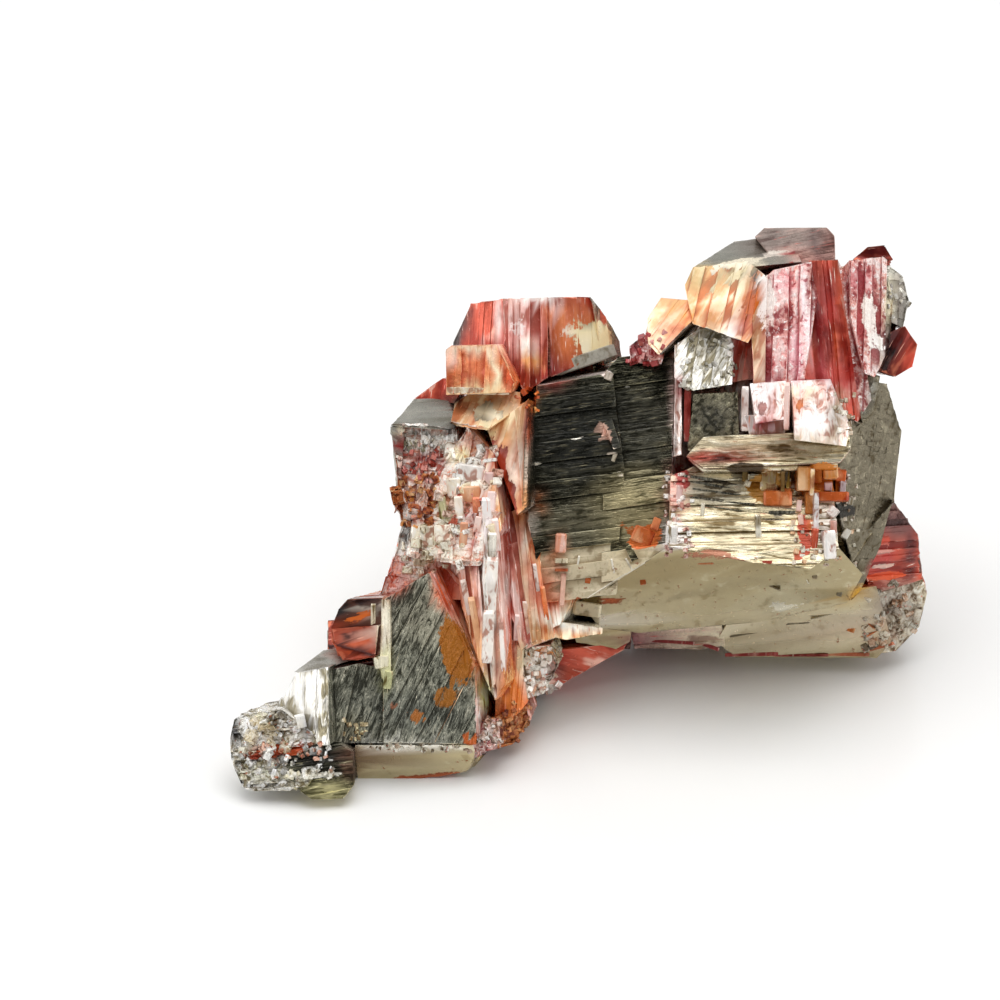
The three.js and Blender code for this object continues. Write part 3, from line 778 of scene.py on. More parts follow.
@dataclass(frozen=True)
class Region:
    """A group of crystals that belong together, with the finish of its faces.

    Attributes:
        patches: its stretches, from the most general to the most particular.
        marks: changes of colour within its faces.
        nuggets: small crystals on its faces.
        sprinkles: scattered crystals on its faces.
    """

    patches: tuple[Patch, ...] = ()
    marks: tuple[Tint, ...] = ()
    nuggets: tuple[Nugget, ...] = ()
    sprinkles: tuple[Sprinkle, ...] = ()

    def dress(self, cluster: "CrystalSurface") -> None:
        """Gives the faces of its patches their finish, their habit and the direction of their steps.

        Args:
            cluster: the surface that the faces belong to.
        """
        taken = 0
        for patch in self.patches:
            mine = patch.holds(cluster.centre / GRID, cluster.normal)
            if patch.habit not in cluster.habits:
                cluster.habits.append(patch.habit)
            cluster.skin[mine] = list(Skin).index(patch.skin)
            cluster.habit[mine] = cluster.habits.index(patch.habit)
            cluster.along[mine] = patch.along()
            taken += int(mine.sum())
        LOG.info("%s: %d faces", type(self).__name__, taken)

    def paint(self, at: Floats, normals: Floats, film: Floats, stain: Floats) -> None:
        """Lays its marks over the film and the stains.

        Tints are laid over each other in their order: each moves the colour and the cover towards its own
        by its share of the cover. Of the stains, the strongest holds.

        Args:
            at: places in the display frame, in squares.
            normals: of the faces there.
            film: red, green, blue and cover of the tints at each place, changed here.
            stain: the same of the stains, changed here.
        """
        for mark in self.marks:
            away = np.hypot(at[:, 0] - mark.x, at[:, 2] - mark.z)
            near = np.flatnonzero(away < FULL / FADE * max(mark.wide, mark.tall) + 0.01)
            cover = mark.cover(at[near], normals[near])
            near, cover = near[cover > 0], cover[cover > 0]
            colour = np.array(linear(mark.colour)[:3])
            if isinstance(mark, Stain):
                stronger = cover > stain[near, 3]
                stain[near[stronger], :3] = colour
                stain[near[stronger], 3] = cover[stronger]
            else:
                held = film[near, 3] * (1 - cover)
                total = held + cover
                mixed = film[near, :3] * held[:, None] + colour * cover[:, None]
                film[near, :3] = mixed / total[:, None]
                film[near, 3] = total


@dataclass(frozen=True)
class Toe(Region):
    """The speckled silver crystals at the lower left and the white block behind them."""

    patches: tuple[Patch, ...] = (
        Patch((-36, -22), (-30, -20), Skin.FOIL, MOSAIC, 5),
        # left-facing faces at the toe's end take the dark finish: painted shade on that side
        Patch((-36, -33.4), (-30, -20), Skin.DARK, PLAIN, 80, Facing.LEFT),
        Patch((-29.4, -22), (-27.2, -23.4), Skin.DARK, WAVY, 8),
        Patch((-27.4, -21.8), (-30, -26.9), Skin.OLIVE, SMOOTH, 0),
        Patch((-30, -24.2), (-23.8, -16), Skin.SILVER, BLADED, 96),
        Patch((-29, -22), (-18, -14), Skin.GREY, SMOOTH, 0, Facing.UP),
    )
    marks: tuple[Tint, ...] = (
        # the first tint paints the shadow on the toe's left end
        Tint(-33.9, -22.6, 0.9, 1.6, "#3a3936", 0, 1.0), Tint(-30, -22.4, 2.6, 1.5, "#d8c08c", 0, 0.7),
        Tint(-31, -26.8, 3.5, 1.0, "#c9c8b0", 0, 0.7), Tint(-26.0, -25.2, 2.6, 1.1, "#3d3b38", 4, 1.0),
        Tint(-22.8, -25.6, 1.0, 2.2, "#6a4636"), Tint(-25, -28.4, 2.8, 1.2, "#d8cf98"),
        Tint(-27.8, -19.6, 2.2, 3.4, "#f3f0ea"), Tint(-26.9, -22.6, 0.5, 1.5, "#8c8a8c", 5, 0.8),
        Tint(-25, -15.8, 3.6, 1.2, "#a3a098", 10, 0.9, Facing.UP),
        Stain(-29.4, -24.5, 3.0, 0.75, "#b4502c", 8, 1.02),
        Stain(-31.4, -25.2, 1.4, 0.6, "#a8442a", 0, 0.8), Stain(-31.6, -26.4, 2.6, 0.8, "#f3f2e2", 4, 0.7),
        Stain(-26.2, -26.9, 3.0, 0.3, "#f1ede0", 5, 1.0), Stain(-31.8, -21.6, 1.6, 0.9, "#f6f0d4", 20, 0.7),
    )
    sprinkles: tuple[Sprinkle, ...] = (
        Sprinkle(
            (-33.4, -28), (-24.6, -21.2), 60, (0.3, 1.2),
            "#f4ecd2 #dcc692 #fdfbf4 #5c5040 #ffffff", Skin.FOIL, 45,
        ),
        Sprinkle(
            (-34, -28.4), (-28, -24.6), 70, (0.2, 0.9),
            "#fdfbf4 #d8d2be #4c4840 #ffffff #e4dcb8", Skin.FOIL, 45,
        ),
        Sprinkle(
            (-29, -24.4), (-26.6, -23.6), 30, (0.2, 0.6),
            "#fdfbf4 #ffffff #3a3733", Skin.FOIL, 45, 0.15,
        ),
        Sprinkle((-33, -25), (-25.4, -23.8), 40, (0.2, 0.6), "#c05a34 #e2a08a #a8442c", turn=40),
        Sprinkle((-29, -24), (-27.2, -26.4), 24, (0.2, 0.5), "#f7f4ea #ddd6bc", turn=40),
    )


@dataclass(frozen=True)
class Foreleg(Region):
    """The dark feathery crystal behind the toe, its blade, its side block and its smooth underside."""

    patches: tuple[Patch, ...] = (
        Patch((-25, -10.2), (-25, -7), Skin.SLATE, FEATHERED, 68),
        Patch((-23, -10), (-29, -23.6), Skin.OLIVE, SMOOTH, 3, Facing.DOWN),
        Patch((-20.4, -18.5), (-19.5, -9), Skin.CREAM, BLADED, 90),
        Patch((-25, -20.2), (-16.2, -9.4), Skin.GARNET, PLAIN, 20),
        Patch((-25, -20.2), (-13, -9), Skin.GARNET, PLAIN, 10),
    )
    marks: tuple[Tint, ...] = (
        Tint(-15.6, -11.0, 2.6, 3.6, "#a8a28c", 20, 0.6), Tint(-17, -20.8, 6.0, 2.4, "#6f7268", -8, 0.7),
        Tint(-22.6, -22.5, 1.6, 1.4, "#8f8a70", 0, 0.7), Tint(-22, -13.6, 2.6, 2.0, "#c04e26", 10, 1.0),
        Tint(-22.4, -10.8, 2.6, 1.8, "#5c3420", 0, 1.0), Tint(-23.6, -10.6, 1.0, 1.4, "#1c1614", 0, 1.0),
        Tint(-19.4, -12.4, 0.8, 3.0, "#f6efdc"), Tint(-19.2, -16.6, 0.8, 2.2, "#dcdca8"),
        Tint(-16.5, -24.2, 5.6, 0.5, "#eeeadf", -3, 1.0), Tint(-16.4, -26, 5.4, 1.2, "#ab9f80", -2, 0.7),
        Stain(-12.4, -14.8, 1.6, 3.6, "#a8661f", 14, 1.0), Stain(-13.4, -19.4, 1.3, 1.2, "#a06424"),
        Stain(-16.2, -21.2, 1.2, 0.9, "#a8662c", -20, 0.8),
        Stain(-18.4, -20.2, 0.5, 0.4, "#9c6a50", 0, 0.7), Stain(-22.0, -11.2, 1.3, 1.1, "#cc6428", 20),
        Stain(-15.0, -27.2, 4.2, 0.35, "#b0603c", 3, 0.8), Stain(-11.0, -23.4, 0.9, 0.8, "#c4622c"),
    )
    nuggets: tuple[Nugget, ...] = (
        Nugget(-20.4, -11.4, 0.5, 2.4, "#e9dfc8", proud=0.15),
        Nugget(-19.6, -15.9, 1.6, 1.2, "#f0ead0", turn=-10, proud=0.4),
        Nugget(-19.0, -17.6, 0.8, 1.8, "#d8dca0", turn=8, proud=0.3),
    )
    sprinkles: tuple[Sprinkle, ...] = (
        Sprinkle((-21, -11), (-24.6, -23.9), 40, (0.2, 0.6), "#f4f0e4 #d8d2c0 #c8a890", proud=0.15),
        Sprinkle((-23.6, -21), (-23.6, -21.6), 16, (0.2, 0.5), "#e9dfae #cdb684", proud=0.15),
    )


@dataclass(frozen=True)
class Spine(Region):
    """The long blades that climb from the foreleg to the middle."""

    patches: tuple[Patch, ...] = (
        Patch((-12.6, -2), (-16, 1), Skin.PINK, BLADED, 94),
        Patch((-11.2, -2), (-22.5, -15.4), Skin.PINK, BLADED, 94),
        Patch((-12.6, -8.3), (-20, 1), Skin.PEACH, BLADED, 95, Facing.LEFT),
        Patch((-9.9, -7.6), (-19.5, -1), Skin.PALE, BLADED, 93),
        Patch((-17.6, -7.8), (-6.6, 7.6), Skin.CREAM_CRUST, MOSAIC, 82),
        Patch((-9.6, -5), (-1.8, 10.2), Skin.PEACH, PLAIN, 75),
        Patch((-6.7, -5), (-1.4, 10.2), Skin.PEACH, PLAIN, 85, Facing.RIGHT),
        Patch((-9, -5), (-22.5, -13.2), Skin.ORANGE, BLADED, 85),
        Patch((-8.2, -3), (-14, -1.2), Skin.PINK, BLADED, 96),
        Patch((-9, -4.8), (-25.2, -19.8), Skin.RUST, RUBBLE, 30),
        Patch((-5.8, -1.8), (-20, -14.3), Skin.SPECKLED, RUBBLE, 30),
        Patch((-10.6, -7.8), (-25, -21.2), Skin.ROSE_CRUST, RUBBLE, 20),
        Patch((-3.8, 2.4), (-14.1, -11.8), Skin.CREAM, SMOOTH, 0),
    )
    marks: tuple[Tint, ...] = (
        # wall under the flank
        Tint(-10.6, 2.9, 1.5, 1.1, "#fffdf6", 0, 1.0), Tint(-11.6, 0.7, 2.4, 1.5, "#f2b490", 0, 0.7),
        Tint(-13.2, -1.6, 0.7, 2.6, "#c8c48c", 0, 0.8), Tint(-11, -1.2, 1.2, 1.0, "#d87c74", 0, 0.6),
        Tint(-9.6, -0.6, 0.8, 3.6, "#f3e4e2", 4, 0.8), Tint(-15.2, -3.6, 1.8, 1.2, "#efe8cf"),
        Tint(-13.2, -5.4, 2.6, 0.8, "#f8f2dc", -4, 1.0), Tint(-17.4, -3.4, 0.7, 1.8, "#25211f", -15, 1.0),
        Tint(-18.4, -7.4, 1.5, 1.9, "#c64e2a", 0, 1.0), Tint(-13.2, -8.8, 1.4, 2.6, "#d4643c", 16, 1.2),
        # dark stretch between the wall and the blades
        Tint(-10.7, -3.6, 0.6, 1.6, "#b84a34"),
        # long blades, left to right
        Tint(-11.0, -10, 1.5, 4.6, "#f0a488", 8), Tint(-10.4, -14.6, 1.3, 4.2, "#ffc088", 12, 1.0),
        Tint(-8.9, -9.4, 1.0, 6.4, "#fffcf4", 3, 1.0), Tint(-8.4, -16.5, 0.7, 3.0, "#f1e6d6", 3),
        Tint(-7.3, -8.4, 0.35, 2.6, "#6c6a60", 3), Tint(-9.4, -19.2, 0.8, 1.9, "#ccd488", 0, 1.0),
        Tint(-6.9, -11.6, 0.4, 3.0, "#d0604c", 2, 0.8), Tint(-6.3, -13.8, 0.5, 3.0, "#f2d8c8", 2),
        Tint(-6.8, -18.4, 1.8, 2.6, "#cb7226"), Tint(-5.9, -15.8, 0.5, 2.0, "#f0d8a8"),
        Tint(-4.2, -17.2, 1.6, 2.4, "#fffaf0", 10, 1.0), Tint(-2.9, -16.6, 0.7, 1.4, "#7c2c20", 0, 0.8),
        Tint(-6.8, -22.6, 1.6, 1.6, "#bc7840", 0, 0.7), Tint(-9.2, -23.0, 1.2, 1.1, "#eedcd0", 0, 0.8),
        # salmon column, pillar and root
        Tint(-6.6, -3.6, 1.4, 2.0, "#eea492"), Tint(-7.4, -4.6, 0.5, 3.0, "#a8382a", -3, 0.8),
        Tint(-5.2, -3.0, 0.35, 3.4, "#fbf0e2", -10, 1.0), Tint(-5.6, -8.8, 0.5, 3.2, "#e8c0a0", 12, 0.7),
        Tint(-4.6, -8.6, 0.9, 3.2, "#eca08e", 10, 0.8), Tint(-3.0, -9.4, 0.9, 3.2, "#e8784a", 10),
        Tint(-1.9, -8.4, 0.4, 4.0, "#f5c4a8", 6), Tint(-2.2, -4.6, 1.0, 1.6, "#dc8450", 0, 0.8),
        Tint(-0.8, -12.0, 3.4, 1.0, "#fffbf0", -6, 1.4),
        # orange-topped blade beside the heart
        Tint(-7.8, 1.6, 0.8, 4.6, "#b84428", 17, 1.0), Tint(-6.4, 5.6, 1.2, 1.8, "#f4a860", -20),
        Tint(-6.4, 3.0, 1.3, 3.4, "#fce0cc", -12, 1.0), Tint(-6.0, -0.6, 0.7, 2.2, "#e0975c", -8),
        Tint(-7.6, 7.6, 2.2, 0.6, "#f6e2ae", 34, 1.0), Tint(-5.6, 10.0, 1.4, 0.9, "#d87828"),
        Tint(-5.2, 7.2, 0.5, 2.2, "#c04820"), Tint(-10.6, 5.6, 1.4, 1.8, "#eca07c", -20),
        Tint(-9.2, 6.6, 0.5, 1.6, "#f8e8b8", 40, 1.0), Tint(-12.0, 4.5, 1.3, 0.9, "#f3e0a6", 0, 1.0),
        Stain(-7.6, 2.6, 0.42, 4.2, "#a83c22", 17, 1.25), Stain(-9.0, -2.2, 0.9, 2.2, "#f6ecea", 0, 0.8),
        Stain(-9.8, 8.8, 1.7, 0.7, "#b3a58a", 35, 1.1), Stain(-8.2, 8.2, 2.0, 0.3, "#fbf0d4", 35, 1.15),
        Stain(-11.4, 0.0, 2.0, 0.8, "#c4503c", 0, 0.75), Stain(-12.4, -2.6, 1.0, 1.4, "#b8563c", 0, 0.6),
        Stain(-4.0, -15.2, 1.8, 0.5, "#d0803c", 0, 0.8), Stain(-7.0, -17.2, 1.0, 2.0, "#efbd78", 0, 0.5),
    )
    nuggets: tuple[Nugget, ...] = (
        # wall blocks and the pale arm
        Nugget(-10.8, 2.7, 2.6, 1.8, "#fffcf4", Skin.PALE, 6, 0.6),
        Nugget(-12.6, 1.3, 1.4, 1.9, "#f8eed4", Skin.PALE, -4, 0.4),
        Nugget(-10.9, 0.5, 2.2, 1.8, "#eeac84", Skin.PEACH, -4, 0.35),
        Nugget(-9.2, 2.0, 0.9, 1.8, "#e6b8b0", Skin.PINK, 4, 0.3),
        Nugget(-8.8, -0.2, 0.8, 2.0, "#f6e6e2", Skin.PINK, 4, 0.4),
        Nugget(-13.6, -0.9, 0.8, 2.4, "#d0cc98", turn=-6, proud=0.3),
        Nugget(-11.8, -1.3, 1.2, 1.1, "#d88a80", Skin.PINK, 0, 0.3),
        Nugget(-15.6, -3.7, 2.4, 2.1, "#f6eed4", Skin.PALE, 2, 0.45),
        Nugget(-13.5, -3.4, 1.8, 1.7, "#fbf4de", Skin.PALE, -2, 0.55),
        Nugget(-13.0, -5.5, 3.8, 1.1, "#fffbea", Skin.PALE, 4, 0.7),
        Nugget(-10.2, -2.4, 0.7, 1.6, "#f4d8cc", Skin.PINK, 10, 0.3),
        Nugget(-15.8, -6.0, 1.4, 1.2, "#eadfc4", turn=6, proud=0.3),
        Nugget(-9.3, -1.6, 0.9, 3.8, "#fff8f4", Skin.PALE, -3, 0.5, tip=4),
        Nugget(-10.3, -1.0, 0.8, 2.6, "#e88c6c", Skin.ORANGE, -4, 0.4, tip=4),
        Nugget(-8.4, -3.4, 0.7, 3.2, "#f8d8cc", Skin.PALE, -6, 0.4, tip=4),
        Nugget(-12.0, -0.8, 0.9, 2.4, "#fbeed8", Skin.PALE, -4, 0.4, tip=4),
        Nugget(-11.6, -3.4, 0.8, 2.4, "#f0a888", Skin.PEACH, 3, 0.35, tip=4),
        # pale and orange bars on the blades
        Nugget(-10.4, -12.2, 0.7, 5.4, "#fbbd90", Skin.PEACH, -10, 0.25, tip=2),
        Nugget(-11.3, -9.6, 0.6, 3.6, "#fdeadc", Skin.PALE, -12, 0.25, tip=2),
        Nugget(-7.8, -14.4, 0.45, 4.8, "#fff6ee", Skin.PALE, -3, 0.3, tip=2),
        Nugget(-7.0, -17.8, 0.8, 3.0, "#e28c3c", Skin.ORANGE, 0, 0.25, tip=2),
        Nugget(-5.3, -11.8, 0.5, 3.6, "#f6ccac", Skin.PALE, -8, 0.25, tip=2),
        Nugget(-3.6, -10.2, 0.5, 3.4, "#ec804e", Skin.ORANGE, -8, 0.25, tip=2),
        Nugget(-4.4, -7.8, 0.4, 3.0, "#fff0e4", Skin.PALE, -8, 0.25, tip=2),
        Nugget(-8.9, -4.4, 0.9, 2.6, "#fbf7f0", turn=3, proud=0.25),
        Nugget(-8.9, -8.4, 1.2, 5.6, "#fbf6ec", Skin.PALE, 3, 0.35, tip=2),
        Nugget(-9.2, -13.4, 1.1, 5.2, "#fffaf0", Skin.PALE, 2, 0.5, tip=2),
        Nugget(-9.4, -18.9, 1.3, 3.4, "#e2ea9c", Skin.PALE, -2, 3.6, tip=0),
        Nugget(-6.0, -15.9, 0.6, 3.2, "#f3e0b8", turn=3, proud=0.25),
        Nugget(-6.4, -12.6, 0.5, 2.6, "#f4dcd4", Skin.PINK, 3, 0.2),
        # root
        Nugget(-1.9, -4.2, 1.1, 1.9, "#e89c74", Skin.PINK, 2, 0.4),
        Nugget(-1.9, -6.0, 1.3, 0.5, "#f6e8c8", turn=0, proud=0.6),
        Nugget(-1.9, -6.9, 1.3, 0.3, "#b86a48", Skin.ORANGE, 0, 0.5),
        Nugget(-1.8, -8.9, 0.5, 3.2, "#f8cdb4", Skin.PINK, 4, 0.3),
        # pale block that fills the dark hollow between the root and the heart: partly the cream ledge there,
        # and light so that it paints over the hollow's shade
        Nugget(0.7, -10.9, 2.8, 1.4, "#efe3c4", Skin.DULL, 8, 1.6, tip=0),
    )
    sprinkles: tuple[Sprinkle, ...] = (
        Sprinkle((-13.2, -8.2), (-3.4, 5.4), 60, (0.3, 1.4), "#fdf6ec #efc8b8 #f6e2b8 #d88c78 #ffffff"),
        Sprinkle((-17.6, -11.6), (-7.4, -2.6), 36, (0.3, 1.1), "#f6eeda #e4d8b8 #fffdf6 #e8b4a4"),
        Sprinkle(
            (-5.6, -2.4), (-19.4, -14.6), 60, (0.25, 0.9),
            "#fffaf0 #f4ecdc #fffdf8 #d89868", Skin.PALE, 40,
        ),
        Sprinkle((-10.2, -8), (-24, -21.6), 30, (0.25, 0.7), "#f0dcd4 #fffaf8 #d89c8c", turn=40),
        Sprinkle((-8, -5.2), (-24.4, -20), 30, (0.3, 0.8), "#b86a3c #d8965c #944c2c", Skin.RUST, 40),
        Sprinkle((-6.4, -4.2), (8.8, 11.2), 24, (0.2, 0.6), "#e07c30 #f4c070 #c04a20", Skin.ORANGE, 40),
    )


@dataclass(frozen=True)
class Flank(Region):
    """The shouldered crystals on the left."""

    patches: tuple[Patch, ...] = (
        Patch((-20, -13.4), (-3.2, 6.2), Skin.RUST, RUBBLE, 85),
        Patch((-20, -11.8), (4.4, 7.4), Skin.GREY, BLADED, -20),
        Patch((-21, -12), (-12, -6.4), Skin.ORANGE, PLAIN, 80, depth=(-6, 6)),
        Patch((-20, -12), (6.4, 11), Skin.GREY, SMOOTH, 0, Facing.UP),
        Patch((-17, -10), (9.2, 12.4), Skin.RED, PLAIN, 0),
        Patch((-13.4, -5.6), (6.6, 11), Skin.GREY, FINE, 60, Facing.UP),
    )
    marks: tuple[Tint, ...] = (
        Tint(-11.4, 9.6, 2.4, 0.7, "#5a3420", -12, 1.0), Tint(-9.4, 8.6, 1.8, 1.1, "#a39a88", 30, 0.8),
        Tint(-18, 6.9, 0.7, 0.5, "#f6e8cc", 0, 1.0), Tint(-18, 5.5, 0.9, 1.0, "#8e2a26", 20, 1.0),
        Tint(-15.2, 6.3, 1.8, 0.8, "#a09890", -10, 0.7), Tint(-12.8, 7.0, 1.0, 0.6, "#2a2422", 45),
        Tint(-15.0, 4.0, 1.8, 0.9, "#96302a", -8, 1.0), Tint(-17.2, 3.0, 1.0, 1.2, "#b0503c", 0, 0.7),
        Tint(-15.8, 0.6, 1.8, 1.6, "#a45a22"), Tint(-15.9, -1.9, 1.6, 1.0, "#9a4a24"),
        Tint(-13.9, -0.9, 0.6, 0.9, "#efdcae", 0, 0.8), Tint(-18.4, -7.5, 1.6, 2.0, "#c64e2a", 0, 1.0),
        Stain(-15.4, 2.2, 1.4, 0.6, "#dba49a", -20, 0.8), Stain(-16.8, 1.0, 0.7, 0.6, "#e8a878", 0, 0.7),
        Stain(-14.8, 6.4, 2.2, 0.5, "#f2efe8", -12, 0.6), Stain(-12.8, 6.2, 1.0, 0.4, "#fffdf8"),
    )
    sprinkles: tuple[Sprinkle, ...] = (
        Sprinkle(
            (-18, -14), (-3, 2.6), 44, (0.3, 0.9),
            "#b4662c #d08a40 #9c4e28 #e8c088", Skin.RUST, 30,
        ),
        Sprinkle((-18, -13.4), (2, 5), 26, (0.25, 0.7), "#a8402e #d89084 #e8c0b0 #7c241c", Skin.RED, 45),
        Sprinkle((-17.8, -12.6), (5, 6.6), 30, (0.2, 0.6), "#e8e2d8 #a8a098 #c8beb4", Skin.SILVER, 30),
    )


@dataclass(frozen=True)
class LeftCrown(Region):
    """The tall red block and the low orange one on the crown's left."""

    patches: tuple[Patch, ...] = (
        Patch((-14, 4.6), (10.4, 21), Skin.RED, PLAIN, 90),
        Patch((-13.8, -6.3), (10.2, 15.7), Skin.ORANGE, BLADED, 88, depth=(-30, -1)),
        Patch((1, 5), (13, 20.6), Skin.GREY, BLADED, 90, Facing.RIGHT),
        Patch((-14, 4.6), (18, 22), Skin.PLUM, PLAIN, 0, Facing.UP, depth=(-30, 3)),
    )
    marks: tuple[Tint, ...] = (
        # tall block, left to right
        Tint(-12.4, 16.4, 0.9, 3.4, "#2e2320", -24, 1.0, depth=(-1, 6)),
        # the near-white spots on the tall block, at -8.2, -6.6 and -5.3 across, are painted highlights
        Tint(-8.2, 17.6, 0.45, 2.6, "#f6e4dc", 0, 1.0), Tint(-9.8, 15.8, 0.3, 0.8, "#f0c4bc", 0, 0.8),
        Tint(-5.8, 16.6, 2.2, 3.2, "#f0aca4"), Tint(-6.6, 18.4, 1.6, 1.4, "#fbdcd4", 0, 0.8),
        Tint(-5.3, 15.4, 1.0, 1.2, "#fffaf0", 0, 1.0), Tint(-4.9, 13.8, 1.2, 0.8, "#efb070", 0, 1.0),
        Tint(-2.8, 15.4, 0.6, 4.0, "#7c2018", 4), Tint(-1.0, 18.6, 2.6, 1.4, "#e08c60"),
        Tint(-0.8, 15.2, 1.4, 1.8, "#dc6c3c"), Tint(-2.4, 12.4, 2.2, 1.4, "#94241c", 20),
        Tint(-4.4, 20.0, 2.6, 0.35, "#fbf6f2", 0, 1.0),
        Tint(-10.4, 12.4, 3.0, 0.4, "#5a1512", depth=(-1.4, 6)), Tint(-0.2, 16.4, 2.6, 2.8, "#cc7444", -20),
        Stain(1.0, 17.2, 2.0, 0.9, "#f5e6bc", -10, 1.35), Stain(1.9, 15.6, 1.5, 1.8, "#f3e0b0", -10, 1.35),
        Stain(0.2, 14.2, 1.8, 0.6, "#f6ead0", 16, 1.2), Stain(-1.2, 17.0, 0.9, 0.4, "#f4dcc8", 0, 0.8),
        # a painted highlight
        Stain(-6.2, 17.2, 1.2, 1.6, "#fbe9e4", 0, 0.55),
        # low block
        Tint(-10.6, 13.2, 1.6, 1.4, "#f08a5c", 0, 0.8, depth=(-30, -1)),
        Tint(-12.9, 14.0, 0.8, 1.2, "#ecc8b8", depth=(-30, -1)),
        Tint(-8.4, 12.8, 0.5, 2.0, "#f8ecc8", 16, 1.0, depth=(-30, -1)),
        Tint(-10.0, 10.9, 3.0, 0.5, "#f8e6b4", 0, 1.0, depth=(-30, -1)),
        Tint(-10.6, 15.0, 3.2, 0.4, "#f4e4c8", depth=(-30, -1)),
    )
    nuggets: tuple[Nugget, ...] = (
        # white nugget under the white tint: a raised painted highlight
        Nugget(-5.3, 15.5, 1.2, 1.3, "#fffaf0", turn=30, proud=0.15),
        Nugget(-10.2, 10.8, 6.2, 0.7, "#f9ebc4", Skin.PALE, 1, 0.1, tip=0),
        Nugget(0.5, 14.0, 6.4, 1.3, "#aaa9a2", Skin.DULL, -19, 0.4, tip=0),
        Nugget(-4.6, 9.9, 0.9, 0.8, "#f4dcd0", Skin.PINK, 20, 0.3),
        Nugget(-4.4, 11.0, 0.5, 0.5, "#fffaf4", turn=20, proud=0.3),
    )


@dataclass(frozen=True)
class Heart(Region):
    """The big dark striated block in the middle."""

    patches: tuple[Patch, ...] = (
        Patch((-5.6, 9.4), (-10.4, 14.6), Skin.DARK, FINE, 7, depth=(-8, 0)),
        Patch((-5, 4.6), (11, 16), Skin.GREY, SMOOTH, 8, Facing.UP),
        Patch((-5.4, -4.2), (-10, 12), Skin.ORANGE, PLAIN, 90, Facing.LEFT),
        Patch((-5.4, -0.4), (-13.6, -6), Skin.PEACH, BLADED, 96, depth=(-8, 3)),
        Patch((-1.4, 8.4), (-10.4, -5.4), Skin.DULL, PLAIN, 7, depth=(-8, 3)),
    )
    marks: tuple[Tint, ...] = (
        # the two dark tints on the front faces, darkest at the top: a painted reflection of the dark room in
        # front of them
        Tint(0, 6.4, 6.5, 5.4, "#33332e", 6, 1.0, Facing.FRONT),
        Tint(6.2, 7, 3.0, 4.4, "#58564a", 0, 0.9, Facing.FRONT),
        Tint(5.4, -1.0, 5.0, 3.8, "#c8ba8c", 12, 0.9, Facing.FRONT),
        Tint(-1.0, -2.4, 4.4, 2.4, "#827c66", 8, 0.8, Facing.FRONT),
        Tint(-4.4, -0.4, 0.8, 1.6, "#8c4a1c", 0, 0.9, Facing.FRONT),
        Tint(0, 13.2, 4.4, 1.4, "#a09f97", 10, 0.9, Facing.UP),
        Stain(6.4, -3.7, 1.8, 1.3, "#e4783c", 25, 1.05), Stain(4.6, -2.6, 1.4, 0.8, "#b06a3c", -20, 0.55),
        Stain(2.4, 6.6, 0.4, 1.3, "#d8b09c", 20, 1.1), Stain(3.2, 4.6, 0.35, 0.9, "#e8d8c4", 25),
        Stain(3.8, 3.0, 0.3, 1.1, "#dccfb8", 25, 0.8), Stain(-0.3, 6.1, 0.35, 0.2, "#fff8ea"),
        Stain(-4.3, 3.6, 0.35, 0.25, "#efe8da", 0, 0.8), Stain(2.6, 12.6, 0.6, 0.6, "#f4e4dc"),
        Stain(4.6, 12.2, 0.25, 1.3, "#d8d4c8"),
    )
    nuggets: tuple[Nugget, ...] = (
        Nugget(2.4, 6.6, 0.5, 2.0, "#dcb4a0", Skin.PINK, 14, 0.3),
        Nugget(3.4, 4.4, 0.4, 1.2, "#e0d4c0", turn=20, proud=0.25),
        Nugget(6.2, -3.6, 2.2, 1.6, "#cc6a38", Skin.ORANGE, 22, 0.2),
        Nugget(7.4, -2.4, 0.8, 1.2, "#d88c60", Skin.ORANGE, 20, 0.25),
        Nugget(2.8, 12.4, 0.8, 0.8, "#f0e0d6", turn=20, proud=0.4),
        Vein(1.6, -9.1, 2.3, 0.12, "#efe8d8", turn=-32), Vein(3.5, -7.9, 2.3, 0.12, "#efe8d8", turn=-32),
        Vein(5.4, -6.8, 2.3, 0.12, "#efe8d8", turn=-32), Vein(-0.3, -6.4, 0.2, 1.8, "#e8e4d8", turn=10),
        Vein(3.2, -6.6, 0.2, 1.6, "#e8e4d8", turn=-12), Vein(4.8, -6.4, 0.2, 1.4, "#e8e4d8", turn=-30),
        Vein(0.7, -8.0, 0.6, 0.6, "#a85a34", Skin.ORANGE, 10),
        Vein(6.2, -8.0, 0.6, 0.9, "#a8552c", Skin.ORANGE, -10),
    )


